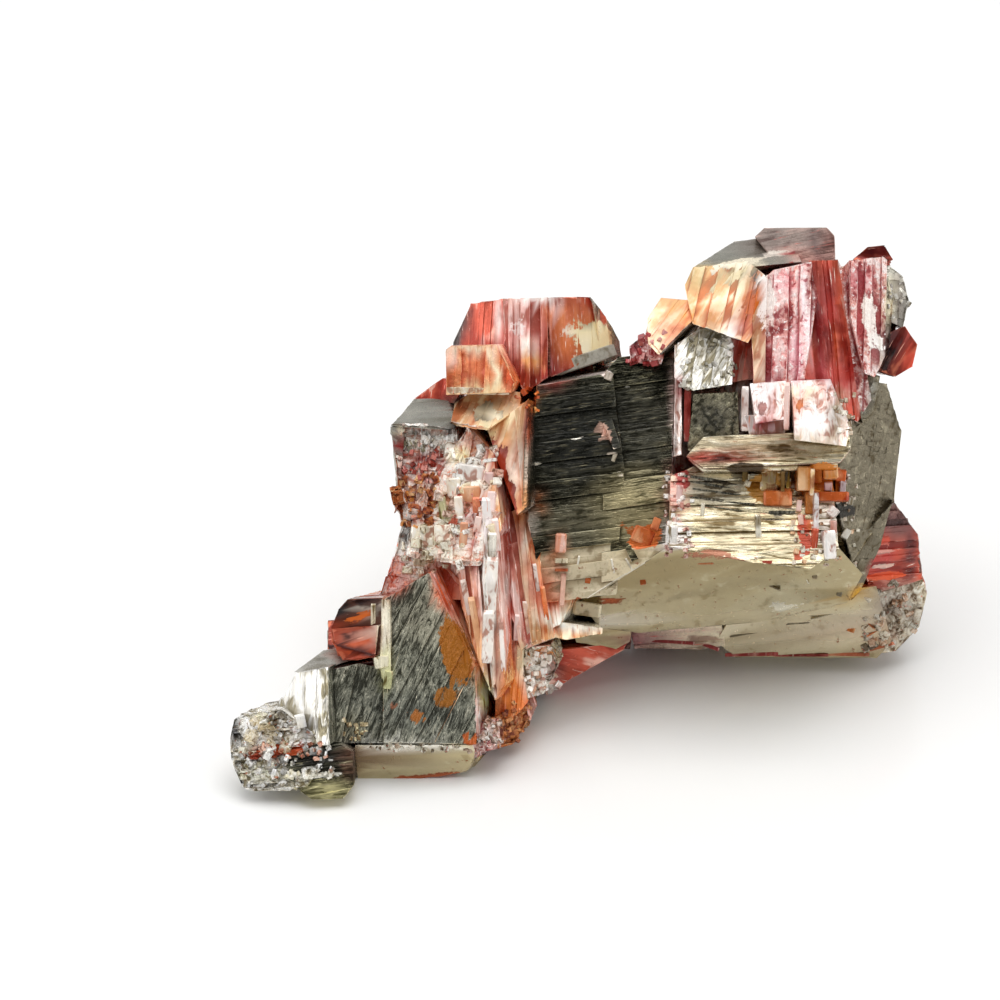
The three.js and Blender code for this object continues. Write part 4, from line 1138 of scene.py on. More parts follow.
@dataclass(frozen=True)
class Bow(Region):
    """The jutting right-hand mass: silver block, ledge, cubes, cream front and smooth underside."""

    patches: tuple[Patch, ...] = (
        Patch((25, 33), (-10.5, 12.4), Skin.OLIVE_ROUGH, PITTED, 80, depth=(-30, 2.6)),
        Patch((9, 16), (10.4, 17.4), Skin.SILVER, WAVY, 60),
        Patch((10.2, 16), (4, 10.9), Skin.SPOTTED, PITTED, 40),
        Patch((9, 10.3), (4, 12.8), Skin.PALE, BLADED, 90),
        Patch((15.9, 27), (6, 12.2), Skin.PALE, PLAIN, 88),
        Patch((10, 27), (2.6, 6.4), Skin.CREAM, WAVY, 2),
        Patch((10, 27), (2.4, 4.4), Skin.PLUM, PLAIN, 2, Facing.DOWN),
        Patch((8.4, 25.6), (-7, 2.9), Skin.CREAM, WAVY, 1),
        Patch((-1, 28.6), (-13.6, -4.2), Skin.OLIVE, SMOOTH, 12, Facing.DOWN),
    )
    marks: tuple[Tint, ...] = (
        # silver block and the dark rounded one
        Tint(12.4, 14.6, 1.8, 2.2, "#bdb7a6", 0, 0.7), Tint(14.4, 15.6, 0.9, 2.2, "#fbfaf4", -10),
        Tint(9.3, 10.6, 0.5, 3.6, "#eccfc6"), Tint(9.9, 11.0, 0.6, 1.2, "#a83c3c", 0, 0.8),
        Tint(13.2, 8.0, 2.4, 2.0, "#5e5a4c"), Tint(11.4, 5.6, 1.2, 0.8, "#8a8068", 0, 0.7),
        # cubes and their ledge
        Tint(18.2, 10.2, 1.7, 1.6, "#fbf3f2"), Tint(18.0, 7.2, 1.9, 0.8, "#a42c2c", 0, 1.0),
        Tint(21.6, 10.6, 1.6, 0.8, "#f2e4bc", 0, 0.8), Tint(20.9, 8.8, 0.9, 1.5, "#efa890", 0, 0.8),
        Tint(22.6, 7.4, 1.6, 0.9, "#ffffff", 0, 1.0), Tint(25.2, 8.4, 0.9, 2.6, "#8c7458", -10),
        Tint(17, 5.8, 6.5, 0.6, "#c9b697", 4, 0.8), Tint(15.6, 4.4, 5.8, 0.9, "#843c30", 6, 1.0),
        Tint(11.4, 4.2, 1.8, 0.6, "#b04438", 14), Tint(20.6, 5.0, 5.4, 1.2, "#a5906e"),
        # recess
        Stain(23.6, 1.9, 2.7, 1.9, "#d8842c", 0, 1.1), Stain(18.7, 1.2, 2.4, 1.7, "#a8752c", 0, 1.1),
        Stain(16.2, 3.1, 2.0, 0.6, "#4a3820", 0, 1.1), Stain(20.2, 1.8, 0.5, 1.6, "#4a3a1c", 0, 1.1),
        Stain(26.2, -1.0, 1.2, 1.0, "#3a3630", 0, 1.0),
        # cream front
        Tint(9.4, 0.6, 1.1, 2.4, "#d2807c"), Tint(9.2, -3.8, 1.3, 2.0, "#fbf5f6"),
        Tint(12.8, 1.0, 3.2, 1.9, "#9c9480", -8), Tint(15.0, -3.6, 3.6, 1.8, "#f1e2bc", -5, 0.8),
        Tint(20.4, -4.4, 2.2, 1.6, "#f2e4bf", 0, 0.8), Tint(17.0, 1.6, 1.4, 0.8, "#3c3226"),
        Tint(24.2, -2.2, 1.6, 3.0, "#f8f0e8", 0, 0.8), Stain(10.0, 2.2, 0.8, 1.4, "#b04a44", 10, 0.95),
        Stain(9.9, -0.8, 0.5, 1.4, "#bc5a50", 0, 0.8), Stain(13.2, 1.9, 2.6, 0.22, "#4a4336", -10, 1.0),
        Stain(13.6, 1.1, 2.4, 0.2, "#5c5240", -12, 1.0), Stain(12.8, 0.1, 2.2, 0.2, "#5c5240", -8, 0.95),
        Stain(18.8, -1.6, 1.6, 0.22, "#4a4336", 0, 1.05), Stain(18.8, -1.0, 1.5, 0.18, "#4a4336", 0, 1.0),
        Stain(19.4, -1.4, 0.9, 0.7, "#5c564a", 0, 0.6), Stain(22.0, -3.4, 0.7, 2.2, "#b8492e", 8, 1.05),
        Stain(21.4, -5.4, 0.9, 0.6, "#c05a3c"), Stain(17.0, -5.4, 0.8, 0.5, "#b0705c", 0, 0.8),
        Stain(13.4, -5.2, 2.2, 0.35, "#b87c60", -6, 0.8), Stain(23.0, 0.4, 0.4, 3.0, "#d87c3c", 2, 0.8),
        Stain(17.8, 9.4, 0.6, 0.9, "#b88078", 10), Stain(21.6, 9.4, 0.8, 0.4, "#e0814c", 0, 0.8),
        # smooth underside
        Tint(12, -11.6, 12, 2.0, "#cfc19c", -2, 0.8), Tint(21, -9.6, 4, 1.6, "#bcb498", 10, 0.6),
        Stain(14.2, -5.9, 2.6, 0.4, "#b0785c", -5, 0.85), Stain(3.2, -9.9, 0.45, 0.5, "#a8552c"),
        Stain(-0.6, -9.9, 0.4, 0.4, "#a8552c", 0, 0.85), Stain(5.2, -12.7, 0.35, 0.3, "#8e4a34", 0, 0.85),
        Stain(12.4, -10.4, 0.9, 0.16, "#5c4a30", -24, 0.8), Stain(17.2, -8.6, 0.5, 0.3, "#5c4632", 0, 0.75),
        Stain(10.2, -8.9, 0.3, 0.3, "#e6e0cc", 0, 0.8),
    )
    nuggets: tuple[Nugget, ...] = (
        # gold and orange blocks in the recess under the ledge
        Nugget(18.6, 1.9, 1.8, 2.1, "#f6dc8c", Skin.PALE, 0, 0.7),
        Nugget(17.0, 2.8, 1.2, 1.0, "#4a3820", Skin.GOLD, 0, 0.5),
        Nugget(16.2, 2.4, 0.5, 1.2, "#6c5030", Skin.GOLD, 3, 0.4),
        Nugget(16.4, 1.6, 0.6, 0.6, "#f6ecd4", turn=20, proud=0.6),
        Nugget(19.9, 1.9, 0.4, 2.0, "#3c3018", Skin.GOLD, 0, 0.4),
        Nugget(20.4, 2.0, 0.35, 1.8, "#8c7430", Skin.GOLD, 0, 0.6),
        Nugget(20.9, 1.9, 0.4, 2.0, "#3c3018", Skin.GOLD, 0, 0.4),
        Nugget(21.9, 2.1, 1.3, 2.4, "#dc9040", Skin.PEACH, 0, 0.8),
        Nugget(22.7, 1.8, 0.4, 2.6, "#f6cc80", Skin.PALE, 2, 1.2),
        Nugget(23.4, 2.6, 0.8, 1.8, "#d88438", Skin.ORANGE, 0, 1.0),
        Nugget(24.6, 2.8, 1.5, 1.6, "#f2a44c", Skin.PEACH, -3, 1.0),
        Nugget(25.8, 2.5, 1.0, 1.2, "#d4642c", Skin.ORANGE, 6, 0.8),
        Nugget(25.9, 1.4, 0.6, 1.3, "#f0e6f0", Skin.PALE, 3, 0.9),
        Nugget(24.5, 1.4, 0.8, 0.8, "#f2dce0", Skin.PINK, 0, 0.8),
        Nugget(19.5, 0.2, 2.8, 1.5, "#cc6a30", Skin.ORANGE, 0, 0.8),
        Nugget(20.2, 0.5, 0.9, 1.2, "#e88c4c", Skin.ORANGE, 0, 1.0),
        Nugget(25.0, 0.3, 3.0, 0.9, "#d4622c", Skin.ORANGE, 0, 1.0),
        Nugget(22.7, -0.2, 1.3, 2.2, "#d08c44", Skin.ORANGE, 0, 0.8),
        Nugget(19.8, -1.2, 2.6, 0.3, "#4c463a", Skin.SLATE, 0, 0.3),
        # columns beside the cream front
        Nugget(21.5, -0.6, 0.5, 1.1, "#f6dcd0", Skin.PINK, 6, 0.9),
        Nugget(21.7, -1.9, 0.5, 1.0, "#efc8b4", Skin.PINK, -8, 0.8),
        Nugget(23.1, -1.8, 0.5, 5.0, "#fffcfa", Skin.PALE, 1, 1.1),
        Nugget(24.9, -1.2, 0.9, 1.0, "#f4ece4", Skin.PALE, 40, 0.9),
        Nugget(24.3, -4.4, 1.2, 2.8, "#fffcf6", Skin.PALE, -2, 0.9),
        Nugget(22.9, -4.0, 0.6, 2.4, "#c8583c", Skin.RED, 6, 0.7),
        Nugget(25.6, -1.6, 0.9, 1.4, "#c8c4b8", Skin.SILVER, 20, 0.6),
        Nugget(26.4, -3.4, 0.7, 1.0, "#e4e0d4", Skin.SILVER, 30, 0.5),
        Nugget(26.8, -0.2, 0.7, 0.7, "#f0ece2", Skin.SILVER, 10, 0.5),
        Nugget(24.8, -2.6, 0.6, 1.2, "#d8a090", Skin.PINK, 0, 0.6),
        # dark growth lines at the top of the cream front
        Vein(11.6, 2.2, 3.0, 0.3, "#3f3a2e", Skin.SLATE, 8),
        Vein(12.8, 1.5, 4.4, 0.26, "#3f3a2e", Skin.SLATE, 11),
        Vein(13.4, 0.8, 4.8, 0.2, "#4c4638", Skin.SLATE, 8),
        Vein(12.4, 0.1, 3.4, 0.16, "#5c5444", Skin.SLATE, 6),
        Vein(15.6, -0.3, 3.2, 0.18, "#4c4638", Skin.SLATE, 4),
        Vein(13.8, -0.8, 4.2, 0.14, "#6c6450", Skin.SLATE, 7),
        Vein(18.8, -1.9, 2.4, 0.16, "#4c4638", Skin.SLATE, 0),
        # cracks and spots on the smooth underside
        Vein(19.0, -8.6, 2.2, 0.14, "#5c4a30", turn=24), Vein(26.0, -9.3, 0.5, 0.7, "#3c3226", turn=20),
        Vein(22.6, -8.0, 0.8, 0.12, "#ece6d4", turn=60), Vein(23.4, -7.6, 0.5, 0.5, "#6c5a40", turn=10),
        Vein(12.4, -6.3, 1.6, 0.2, "#a86a4c", Skin.ORANGE, 0),
        Vein(18.2, -6.1, 1.0, 0.3, "#a8483c", Skin.RED, 0),
        # left rim of the cream front
        Nugget(9.2, 2.8, 0.7, 1.4, "#eed0c8", Skin.PINK, -20, 0.4),
        Nugget(9.6, 0.4, 0.6, 2.2, "#efd4d0", Skin.PINK, 8, 0.35),
        Nugget(8.9, -3.4, 1.2, 1.8, "#fdfafc", turn=2, proud=0.4),
        Nugget(12.0, -1.0, 0.4, 1.4, "#fbf4e0", turn=4, proud=0.3),
        Nugget(17.4, -2.6, 0.6, 2.4, "#fdf8ea", turn=-3, proud=0.3),
        # cubes
        Nugget(16.15, 9.0, 0.7, 4.4, "#f2e2da", Skin.PALE, 1, 7.0, tip=0),
        Nugget(10.55, 8.4, 0.7, 5.2, "#a84a48", Skin.RED, 1, 5.0, tip=0),
        Nugget(20.15, 9.2, 0.5, 4.6, "#d8b0a4", Skin.PINK, 2, 1.6),
    )
    sprinkles: tuple[Sprinkle, ...] = (
        Sprinkle((8.4, 11), (-5.6, 3.2), 60, (0.2, 0.6), "#f4e8e6 #d89c98 #b8605c #ffffff", proud=0.2),
        Sprinkle((20.8, 27.6), (-6.4, 2.6), 70, (0.2, 0.6), "#f6f0e6 #d8a070 #c8c2b2 #e8d8c8", turn=14),
        Sprinkle(
            (9.4, 15.4), (11, 16.4), 50, (0.2, 0.7),
            "#f4f2ea #a8a294 #d8d2c0", Skin.SILVER, 30, 0.2,
        ),
        Sprinkle((24.6, 27), (6.4, 10.6), 24, (0.2, 0.6), "#fbf4e8 #c8a888 #8c7458", turn=10, proud=0.15),
    )


@dataclass(frozen=True)
class RightCrown(Region):
    """The rose and red prisms of the upper right with the yellow fan."""

    patches: tuple[Patch, ...] = (
        Patch((16.6, 32), (7, 25), Skin.PINK, BLADED, 88, depth=(-30, 1)),
        Patch((22.3, 29.4), (7.4, 24.2), Skin.RED, BLADED, 94, depth=(-30, -2.2)),
        Patch((26.4, 31.4), (11.8, 24.6), Skin.ROSE_CRUST, PLAIN, 88, depth=(-30, -2.2)),
        Patch((16.6, 23.3), (11, 24), Skin.ROSE_CRUST, PLAIN, 88, Facing.FRONT),
        Patch((10, 18.2), (15.2, 24), Skin.PEACH, PLAIN, 66, depth=(-30, 2)),
        Patch((6.2, 12.1), (14, 20.4), Skin.PEACH, PLAIN, 60),
        Patch((4.4, 8.8), (13.2, 17.2), Skin.ROSE_CRUST, MOSAIC, 30),
        Patch((13.6, 17.5), (11.4, 17.7), Skin.RED, PLAIN, 80),
        Patch((10.8, 26), (23, 28), Skin.PLUM, FINE, 12),
        Patch((10.8, 22.4), (23, 28), Skin.GREY, FINE, 18, Facing.UP),
        Patch((27, 31.6), (23, 26), Skin.GARNET, PLAIN, 0),
        Patch((30.3, 33.6), (16.9, 24.4), Skin.GREY, MOSAIC, 80),
        Patch((29.6, 34.2), (11.8, 17.6), Skin.GARNET, PLAIN, 60),
        Patch((27.4, 30.2), (7, 13), Skin.GREY, PLAIN, 60),
    )
    marks: tuple[Tint, ...] = (
        # yellow fan
        Tint(12.0, 22.2, 1.8, 1.6, "#cdb274"), Tint(15.6, 22.4, 2.6, 1.4, "#b8ac84", 12),
        Tint(17.4, 23.4, 1.4, 0.8, "#f2e6cc", 10, 0.7), Tint(13.8, 18.4, 2.2, 1.2, "#dc9048"),
        Tint(16.4, 19.4, 0.9, 1.8, "#d06a1c", -14, 1.0), Tint(16.0, 17.0, 1.5, 1.2, "#a83c28"),
        # petal and the red bit beside it
        Tint(9.2, 18.8, 2.2, 0.8, "#f6b870", 24), Tint(8.4, 16.6, 1.4, 1.6, "#ea8c70", 20, 0.8),
        Tint(10.8, 18.0, 1.2, 0.8, "#f2a452", 30), Tint(5.4, 15.4, 1.2, 1.4, "#8c2432", 20),
        # left prism
        Tint(18.6, 20.8, 1.3, 2.2, "#ecdad4", 10, 0.8), Tint(20.2, 21.4, 1.2, 1.8, "#d9868e", 8, 0.8),
        Tint(19.2, 17.0, 1.7, 2.0, "#cc7c78", 0, 0.7), Tint(18.6, 13.2, 2.0, 1.8, "#b04e50"),
        Tint(22.2, 18.6, 0.5, 5.0, "#fbe6e8", 4, 1.0), Tint(21.2, 14.2, 0.8, 3.4, "#ecb2bc"),
        # red middle
        Tint(24.6, 19.4, 1.0, 4.6, "#a0302c", 3), Tint(23.4, 17.4, 0.5, 5.6, "#7c1a22", 5),
        Tint(25.6, 18.6, 0.4, 5.0, "#e06a3c", -4), Tint(26.6, 12.4, 1.5, 3.4, "#9c2420", -10),
        Tint(24.0, 12.6, 1.2, 2.0, "#b8484c", 0, 0.8),
        # right prism
        Tint(27.6, 21.8, 1.6, 1.8, "#c86870", 0, 0.8), Tint(28.4, 17.4, 1.6, 2.2, "#d0807c", 0, 0.7),
        Tint(30.6, 19.4, 0.7, 3.0, "#ece0c0", -6), Tint(29.4, 14.6, 1.0, 1.4, "#efe4d4", 20),
        Tint(28.4, 10.2, 0.7, 1.8, "#a7a49a", -24),
        Tint(29.4, 25.0, 1.8, 0.8, "#401012", 0, 1.0, depth=(-30, 14)),
        Tint(32.0, 20.6, 0.8, 3.0, "#6c5c54", 0, 0.7),
        Tint(31.0, 15.4, 1.4, 2.4, "#44100e", 0, 1.0, depth=(-30, 14)),
        Tint(33.0, 13.8, 0.9, 1.8, "#d4503a", 0, 1.0, depth=(-30, 14)),
        # top blocks
        Tint(20.0, 26.4, 4.6, 2.0, "#867870", 10), Tint(21.4, 24.4, 1.0, 0.9, "#d8a496", 0, 0.7),
        Tint(23.4, 25.6, 0.9, 1.6, "#5c4844", 0, 0.8), Stain(17.0, 19.6, 0.7, 1.5, "#cc6620", -14, 1.1),
        Stain(15.4, 18.0, 0.4, 1.4, "#d87c34", -14), Stain(14.6, 21.8, 2.6, 0.6, "#e0d0a8", 30, 0.95),
        Stain(16.6, 22.6, 1.6, 0.5, "#8c7c60", 24, 0.8), Stain(15.6, 23.6, 2.8, 0.5, "#efe4cc", 12, 1.0),
        Stain(19.6, 24.7, 1.6, 0.4, "#d8ccc0", 8), Stain(20.9, 24.2, 0.5, 0.8, "#a8403c", 0, 1.1),
        Stain(18.4, 20.4, 0.9, 2.4, "#fbf0ea", 14, 0.85), Stain(18.4, 17.6, 1.4, 1.8, "#f6e0d8", 0, 0.55),
        Stain(28.6, 18.4, 1.1, 2.8, "#fdf2ea", 4, 0.7), Stain(29.2, 15.4, 0.8, 1.2, "#fffaf4", 0, 0.8),
        Stain(17.6, 21.4, 0.3, 1.8, "#6a5a50", 14, 0.7),
    )
    sprinkles: tuple[Sprinkle, ...] = (
        Sprinkle((30.4, 33), (17, 24), 40, (0.2, 0.7), "#a8a090 #d0c8b4 #8a7c70", Skin.SILVER, 45, 0.15),
        Sprinkle((4.8, 8.4), (13.4, 17), 24, (0.3, 0.8), "#a83c48 #e8b0ac #7c2430", Skin.RED, 40, 0.25),
    )


@dataclass(frozen=True)
class Heel(Region):
    """The rear foot under the right-hand mass, with its rough end."""

    patches: tuple[Patch, ...] = (
        Patch((13, 32), (-17, -8), Skin.OLIVE, SMOOTH, 4, depth=(-2, 30)),
        Patch((28.5, 37), (-17, 0.4), Skin.PLUM, PITTED, 60, depth=(1, 20)),
        Patch((28.5, 37), (-17, -8), Skin.SPECKLED, PITTED, 60, depth=(1, 20)),
        Patch((28, 34.5), (-9.6, -3.4), Skin.RED, WAVY, 4, depth=(1, 12)),
        Patch((-2, 15), (-16, -12.2), Skin.PLUM, PLAIN, 3, depth=(2, 20)),
        Patch((-1.6, 5.4), (-15, -11.8), Skin.OLIVE, SMOOTH, 3, depth=(2, 12)),
        Patch((-4, 5.2), (-20, -14), Skin.RED, PLAIN, -20, depth=(2, 12)),
    )
    marks: tuple[Tint, ...] = (
        Tint(30.4, -6.0, 1.8, 2.0, "#b8443c", 0, 1.0, depth=REAR),
        Tint(32.2, -2.6, 2.2, 1.8, "#7c5450", depth=REAR),
        Tint(33.6, -5.6, 0.8, 3.0, "#6c3434", depth=REAR),
        Tint(28.2, -9.4, 1.3, 0.9, "#d8a030", 20, 1.0, depth=(-2, 40)),
        Tint(32.0, -11.6, 3.2, 3.4, "#a89a8a", 0, 1.1, depth=REAR),
        Tint(30.4, -13.6, 2.0, 1.6, "#a07050", depth=REAR),
        Tint(8.0, -14.1, 4.8, 0.7, "#925058", depth=REAR),
        # lighter olive along the bottom: a painted reflection of a bright floor, laid over the contact shadow
        # that these faces reflect
        Tint(20, -13.4, 11, 2.6, "#efe3c4", 2, 1.0, depth=(-2, 40)),
        Stain(30.9, -7.7, 2.2, 0.45, "#e85c30", 4, 1.2, depth=REAR),
        Stain(30.6, -6.7, 1.5, 0.22, "#f0c8b8", 4, 1.1, depth=REAR),
        Stain(30.4, -4.2, 1.1, 0.6, "#d8543c", 4, 1.1, depth=REAR),
        Stain(30.8, -5.2, 1.3, 0.2, "#eca898", 4, 1.0, depth=REAR),
        Stain(29.8, -13.2, 1.6, 1.2, "#b0603c", 30, 0.7, depth=REAR),
        Stain(27.2, -12.4, 0.6, 0.5, "#a8683c", 0, 0.8, depth=REAR),
        Stain(20.4, -10.9, 1.8, 0.15, "#e0dac4", 12, 0.8, depth=REAR),
    )
    nuggets: tuple[Nugget, ...] = (
        # dark red rim along the bottom edge
        Nugget(17.6, -15.7, 5.4, 0.4, "#8c3c40", Skin.RED, -1, 0.12, tip=0),
        Nugget(22.6, -15.8, 5.6, 0.3, "#9c5450", Skin.RED, 0, 0.12, tip=0),
        Nugget(27.4, -15.7, 4.4, 0.4, "#a86450", Skin.ORANGE, 1, 0.12, tip=0),
        Nugget(30.8, -14.9, 2.6, 0.35, "#b06a50", Skin.ORANGE, -16, 0.12, tip=0),
        Nugget(9.6, -14.4, 4.4, 0.35, "#8c3c44", Skin.RED, 4, 0.12, tip=0),
        Nugget(13.4, -14.9, 1.8, 0.4, "#8c3c44", Skin.RED, 20, 0.12, tip=0),
        # cracks, veins and pits
        Vein(17.0, -13.6, 3.4, 0.14, "#4a4030", turn=-10), Vein(22.2, -12.5, 2.4, 0.14, "#4a4030", turn=-4),
        Vein(25.4, -11.6, 4.0, 0.1, "#ece4cc", turn=-14),
        Vein(27.6, -13.1, 0.8, 0.6, "#b06834", Skin.ORANGE, 20),
        Vein(29.4, -12.6, 1.6, 0.14, "#a8643c", Skin.ORANGE, 40),
        Vein(30.0, -13.4, 1.8, 0.14, "#a8643c", Skin.ORANGE, -30),
        Vein(28.8, -13.9, 1.4, 0.12, "#a8643c", Skin.ORANGE, 24),
    )
    sprinkles: tuple[Sprinkle, ...] = (
        Sprinkle((28.8, 34.6), (-15, -8.4), 60, (0.3, 1.0), "#a89c8c #8c8478 #c8bca8 #b07c58", turn=45),
    )


@dataclass(frozen=True)
class Back(Region):
    """The guessed rear: blocks of the same kinds as the front."""

    patches: tuple[Patch, ...] = (
        Patch((-40, 40), (-40, 40), Skin.OLIVE, PLAIN, 4, depth=(-30, 40)),
        Patch((-40, -3), (-40, 40), Skin.DARK, PLAIN, 86, depth=(1, 40)),
        Patch((-10, 3), (6, 24), Skin.RED, BLADED, 90, depth=(4, 40)),
        Patch((15, 30), (11, 26), Skin.PINK, BLADED, 88, depth=(4, 40)),
        Patch((9, 20), (-5, 11), Skin.ORANGE, BLADED, 88, depth=(5, 40)),
        Patch((-16, -4), (-6, 6), Skin.SPECKLED, MOSAIC, 84, depth=(4, 40)),
        Patch((18, 31), (0, 12), Skin.SILVER, FINE, 4, depth=(4, 40)),
        Patch((-24, -12), (-24, -10), Skin.OLIVE, FINE, 88, depth=(-4, 40)),
        Patch((-14, 0), (-18, -6), Skin.PLUM, BLADED, 85, depth=(6, 40)),
        Patch((-4, 12), (-5, 10), Skin.DARK, FINE, 3, depth=(8, 40)),
    )
    sprinkles: tuple[Sprinkle, ...] = (
        Sprinkle((-17, -3), (-7, 5), 90, (0.2, 0.9), "#e8d8b8 #d8a088 #b89870", turn=40, rear=True),
        Sprinkle((9, 20), (-5, 6), 40, (0.2, 0.7), "#d8b090 #b8b09c #e8dcc8", turn=20, rear=True),
        Sprinkle((-20, -8), (-20, -9), 40, (0.2, 0.7), "#b0a68c #a86a48 #d8d0bc", turn=40, rear=True),
    )


# ---- The crystal surface ----


def count_off(many: Ints) -> tuple[Ints, Ints]:
    """For groups of the given sizes laid end to end: each item's group, and its place in that group."""
    group = np.repeat(np.arange(len(many)), many)
    return group, np.arange(len(group)) - (np.cumsum(many) - many)[group]


def same_group(count: int, first: Ints, second: Ints) -> Ints:
    """Numbers the groups of items that are linked in pairs.

    Each item takes the lowest label among those it is linked to, again and again, until nothing changes.

    Args:
        count: how many items there are.
        first: one item of each pair.
        second: the other item of each pair.

    Returns:
        For each item, the number of its group, counted from 0.
    """
    label = np.arange(count)
    while True:
        low = np.minimum(label[first], label[second])
        new = label.copy()
        np.minimum.at(new, first, low)
        np.minimum.at(new, second, low)
        new = new[new]
        if (new == label).all():
            return np.unique(label, return_inverse=True)[1].reshape(-1)
        label = new


def unit(vectors: Floats) -> Floats:
    """Vectors of length one."""
    return vectors / np.maximum(np.linalg.norm(vectors, axis=-1, keepdims=True), 1e-12)


@dataclass
class CrystalSurface:
    """The cluster's surface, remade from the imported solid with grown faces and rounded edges.

    The solid's triangles are gathered into flat faces. Every edge between two faces is cut where the growth
    steps of either face meet it, and each face is filled with points along its steps and meshed again.
    The points then sink by the height of the growth steps, and those on an edge by the heights of all the
    faces that meet there, so the surface stays closed.

    Attributes:
        regions: the sub-assemblies, from the most general to the most particular.
        least_area: mm2, faces smaller than this get no points of their own.
    """

    regions: list[Region]
    least_area: float = 0.2

    def read(self, node: bpy.types.Object) -> None:
        """Reads the solid, welds its corners and gathers its triangles into flat faces.

        Args:
            node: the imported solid.
        """
        mesh = node.data
        co = np.empty(len(mesh.vertices) * 3)
        mesh.vertices.foreach_get("co", co)
        corners = np.empty(len(mesh.polygons) * 3, np.int64)
        mesh.polygons.foreach_get("vertices", corners)
        points = np.round(co.reshape(-1, 3) / MM, WELD)
        merged, back = np.unique(points, axis=0, return_inverse=True)
        tri = back.reshape(-1)[corners.reshape(-1, 3)]
        whole = (tri[:, 0] != tri[:, 1]) & (tri[:, 1] != tri[:, 2]) & (tri[:, 0] != tri[:, 2])
        self.tri = tri[whole]
        self.points = to_display(merged)
        self.on_floor = merged[:, 2] < GROUND
        cross = np.cross(
            self.points[self.tri[:, 1]] - self.points[self.tri[:, 0]],
            self.points[self.tri[:, 2]] - self.points[self.tri[:, 0]],
        )
        area = np.linalg.norm(cross, axis=1) / 2
        flat = unit(cross)
        halves = np.concatenate([self.tri[:, [0, 1]], self.tri[:, [1, 2]], self.tri[:, [2, 0]]])
        owner = np.tile(np.arange(len(self.tri)), 3)
        low_high = np.sort(halves, axis=1)
        pairs, which, times = np.unique(low_high, axis=0, return_inverse=True, return_counts=True)
        which = which.reshape(-1)
        order = np.argsort(which, kind="stable")
        firsts = np.cumsum(np.append(0, times[:-1]))
        one, two = owner[order[firsts]], owner[order[firsts + 1]]
        long = np.linalg.norm(self.points[pairs[:, 1]] - self.points[pairs[:, 0]], axis=1)
        thin = (2 * area / np.maximum(long[which].reshape(3, -1).max(0), 1e-9)) < THIN
        longest = long[which].reshape(3, -1).argmax(0)
        of_longest = which.reshape(3, -1)[longest, np.arange(len(self.tri))]
        level = ((flat[one] * flat[two]).sum(1) > FLAT) & ~thin[one] & ~thin[two]
        label = same_group(len(self.tri), one[level], two[level])
        # a thin triangle, whose own normal says little, joins the face across its longest side
        beyond = np.where(one[of_longest] == np.arange(len(self.tri)), two[of_longest], one[of_longest])
        settled = ~thin
        for _ in range(PASSES):
            ready = ~settled & settled[beyond]
            label[ready] = label[beyond[ready]]
            settled |= ready
        self.face_of = np.unique(label, return_inverse=True)[1].reshape(-1)
        count = self.face_of.max() + 1
        weight = np.where(thin, 0, area) + 1e-9
        self.normal = unit(self._sum(count, self.face_of, flat * weight[:, None]))
        self.area = self._sum(count, self.face_of, area[:, None])[:, 0]
        middle = self.points[self.tri].mean(1)
        moment = self._sum(count, self.face_of, middle * weight[:, None])
        self.centre = moment / self._sum(count, self.face_of, weight[:, None])
        between = self.face_of[one] != self.face_of[two]
        between |= times != 2
        self.edge = pairs[between]
        self.edge_faces = np.stack([self.face_of[one], self.face_of[two]], 1)[between]
        # a fold is convex where the second face's middle lies below the first face's plane
        start = self.points[self.edge[:, 0]]
        apex = middle[two[between]] - start
        outward = (apex * self.normal[self.edge_faces[:, 0]]).sum(1) < 0
        turned = (self.normal[self.edge_faces[:, 0]] * self.normal[self.edge_faces[:, 1]]).sum(1)
        self.fold = np.where(turned < FOLDED, np.where(outward, 1.0, -1.0), 0.0)
        self.convex = self.fold > 0
        self.half_edge = (halves, which, owner)
        self.between = between
        resting = self.on_floor[self.tri].all(1)[:, None] * 1.0
        self.floor_face = self._sum(count, self.face_of, resting)[:, 0] > 0

    @staticmethod
    def _sum(count: int, group: Ints, rows: Floats) -> Floats:
        """Adds up rows by group.

        Args:
            count: how many groups there are.
            group: each row's group.
            rows: what is added up.

        Returns:
            One sum for each group.
        """
        made = np.zeros((count, rows.shape[1]))
        np.add.at(made, group, rows)
        return made

    def dress(self) -> None:
        """Gives every face its finish, its habit and the directions along and across its steps."""
        count = len(self.area)
        self.skin, self.habit = np.zeros(count, np.int64), np.zeros(count, np.int64)
        self.habits: list[Habit] = []
        self.along = np.tile([1.0, 0.0, 0.0], (count, 1))
        for region in self.regions:
            region.dress(self)
        # steps run along the face: where the direction stands on it, the steps run into the depth
        end_on = np.abs((self.along * self.normal).sum(1)) > END_ON
        self.along[end_on] = np.cross(self.along[end_on], [0.0, 1.0, 0.0])
        self.along = unit(self.along - self.normal * (self.along * self.normal).sum(1)[:, None])
        self.across = np.cross(self.normal, self.along)

    def local(self, faces: Ints, points: Floats) -> tuple[Floats, Floats]:
        """Places along and across the steps of each point's face."""
        return (points * self.along[faces]).sum(1), (points * self.across[faces]).sum(1)

    def sunk(self, faces: Ints, points: Floats) -> Floats:
        """Heights of the growth steps.

        Args:
            faces: each point's face.
            points: in the display frame.

        Returns:
            Heights in mm, zero or below.
        """
        s, t = self.local(faces, points)
        made = np.zeros(len(points))
        for number, habit in enumerate(self.habits):
            mine = self.habit[faces] == number
            if mine.any():
                made[mine] = habit.height(s[mine], t[mine])
        made[self.floor_face[faces]] = 0
        return made

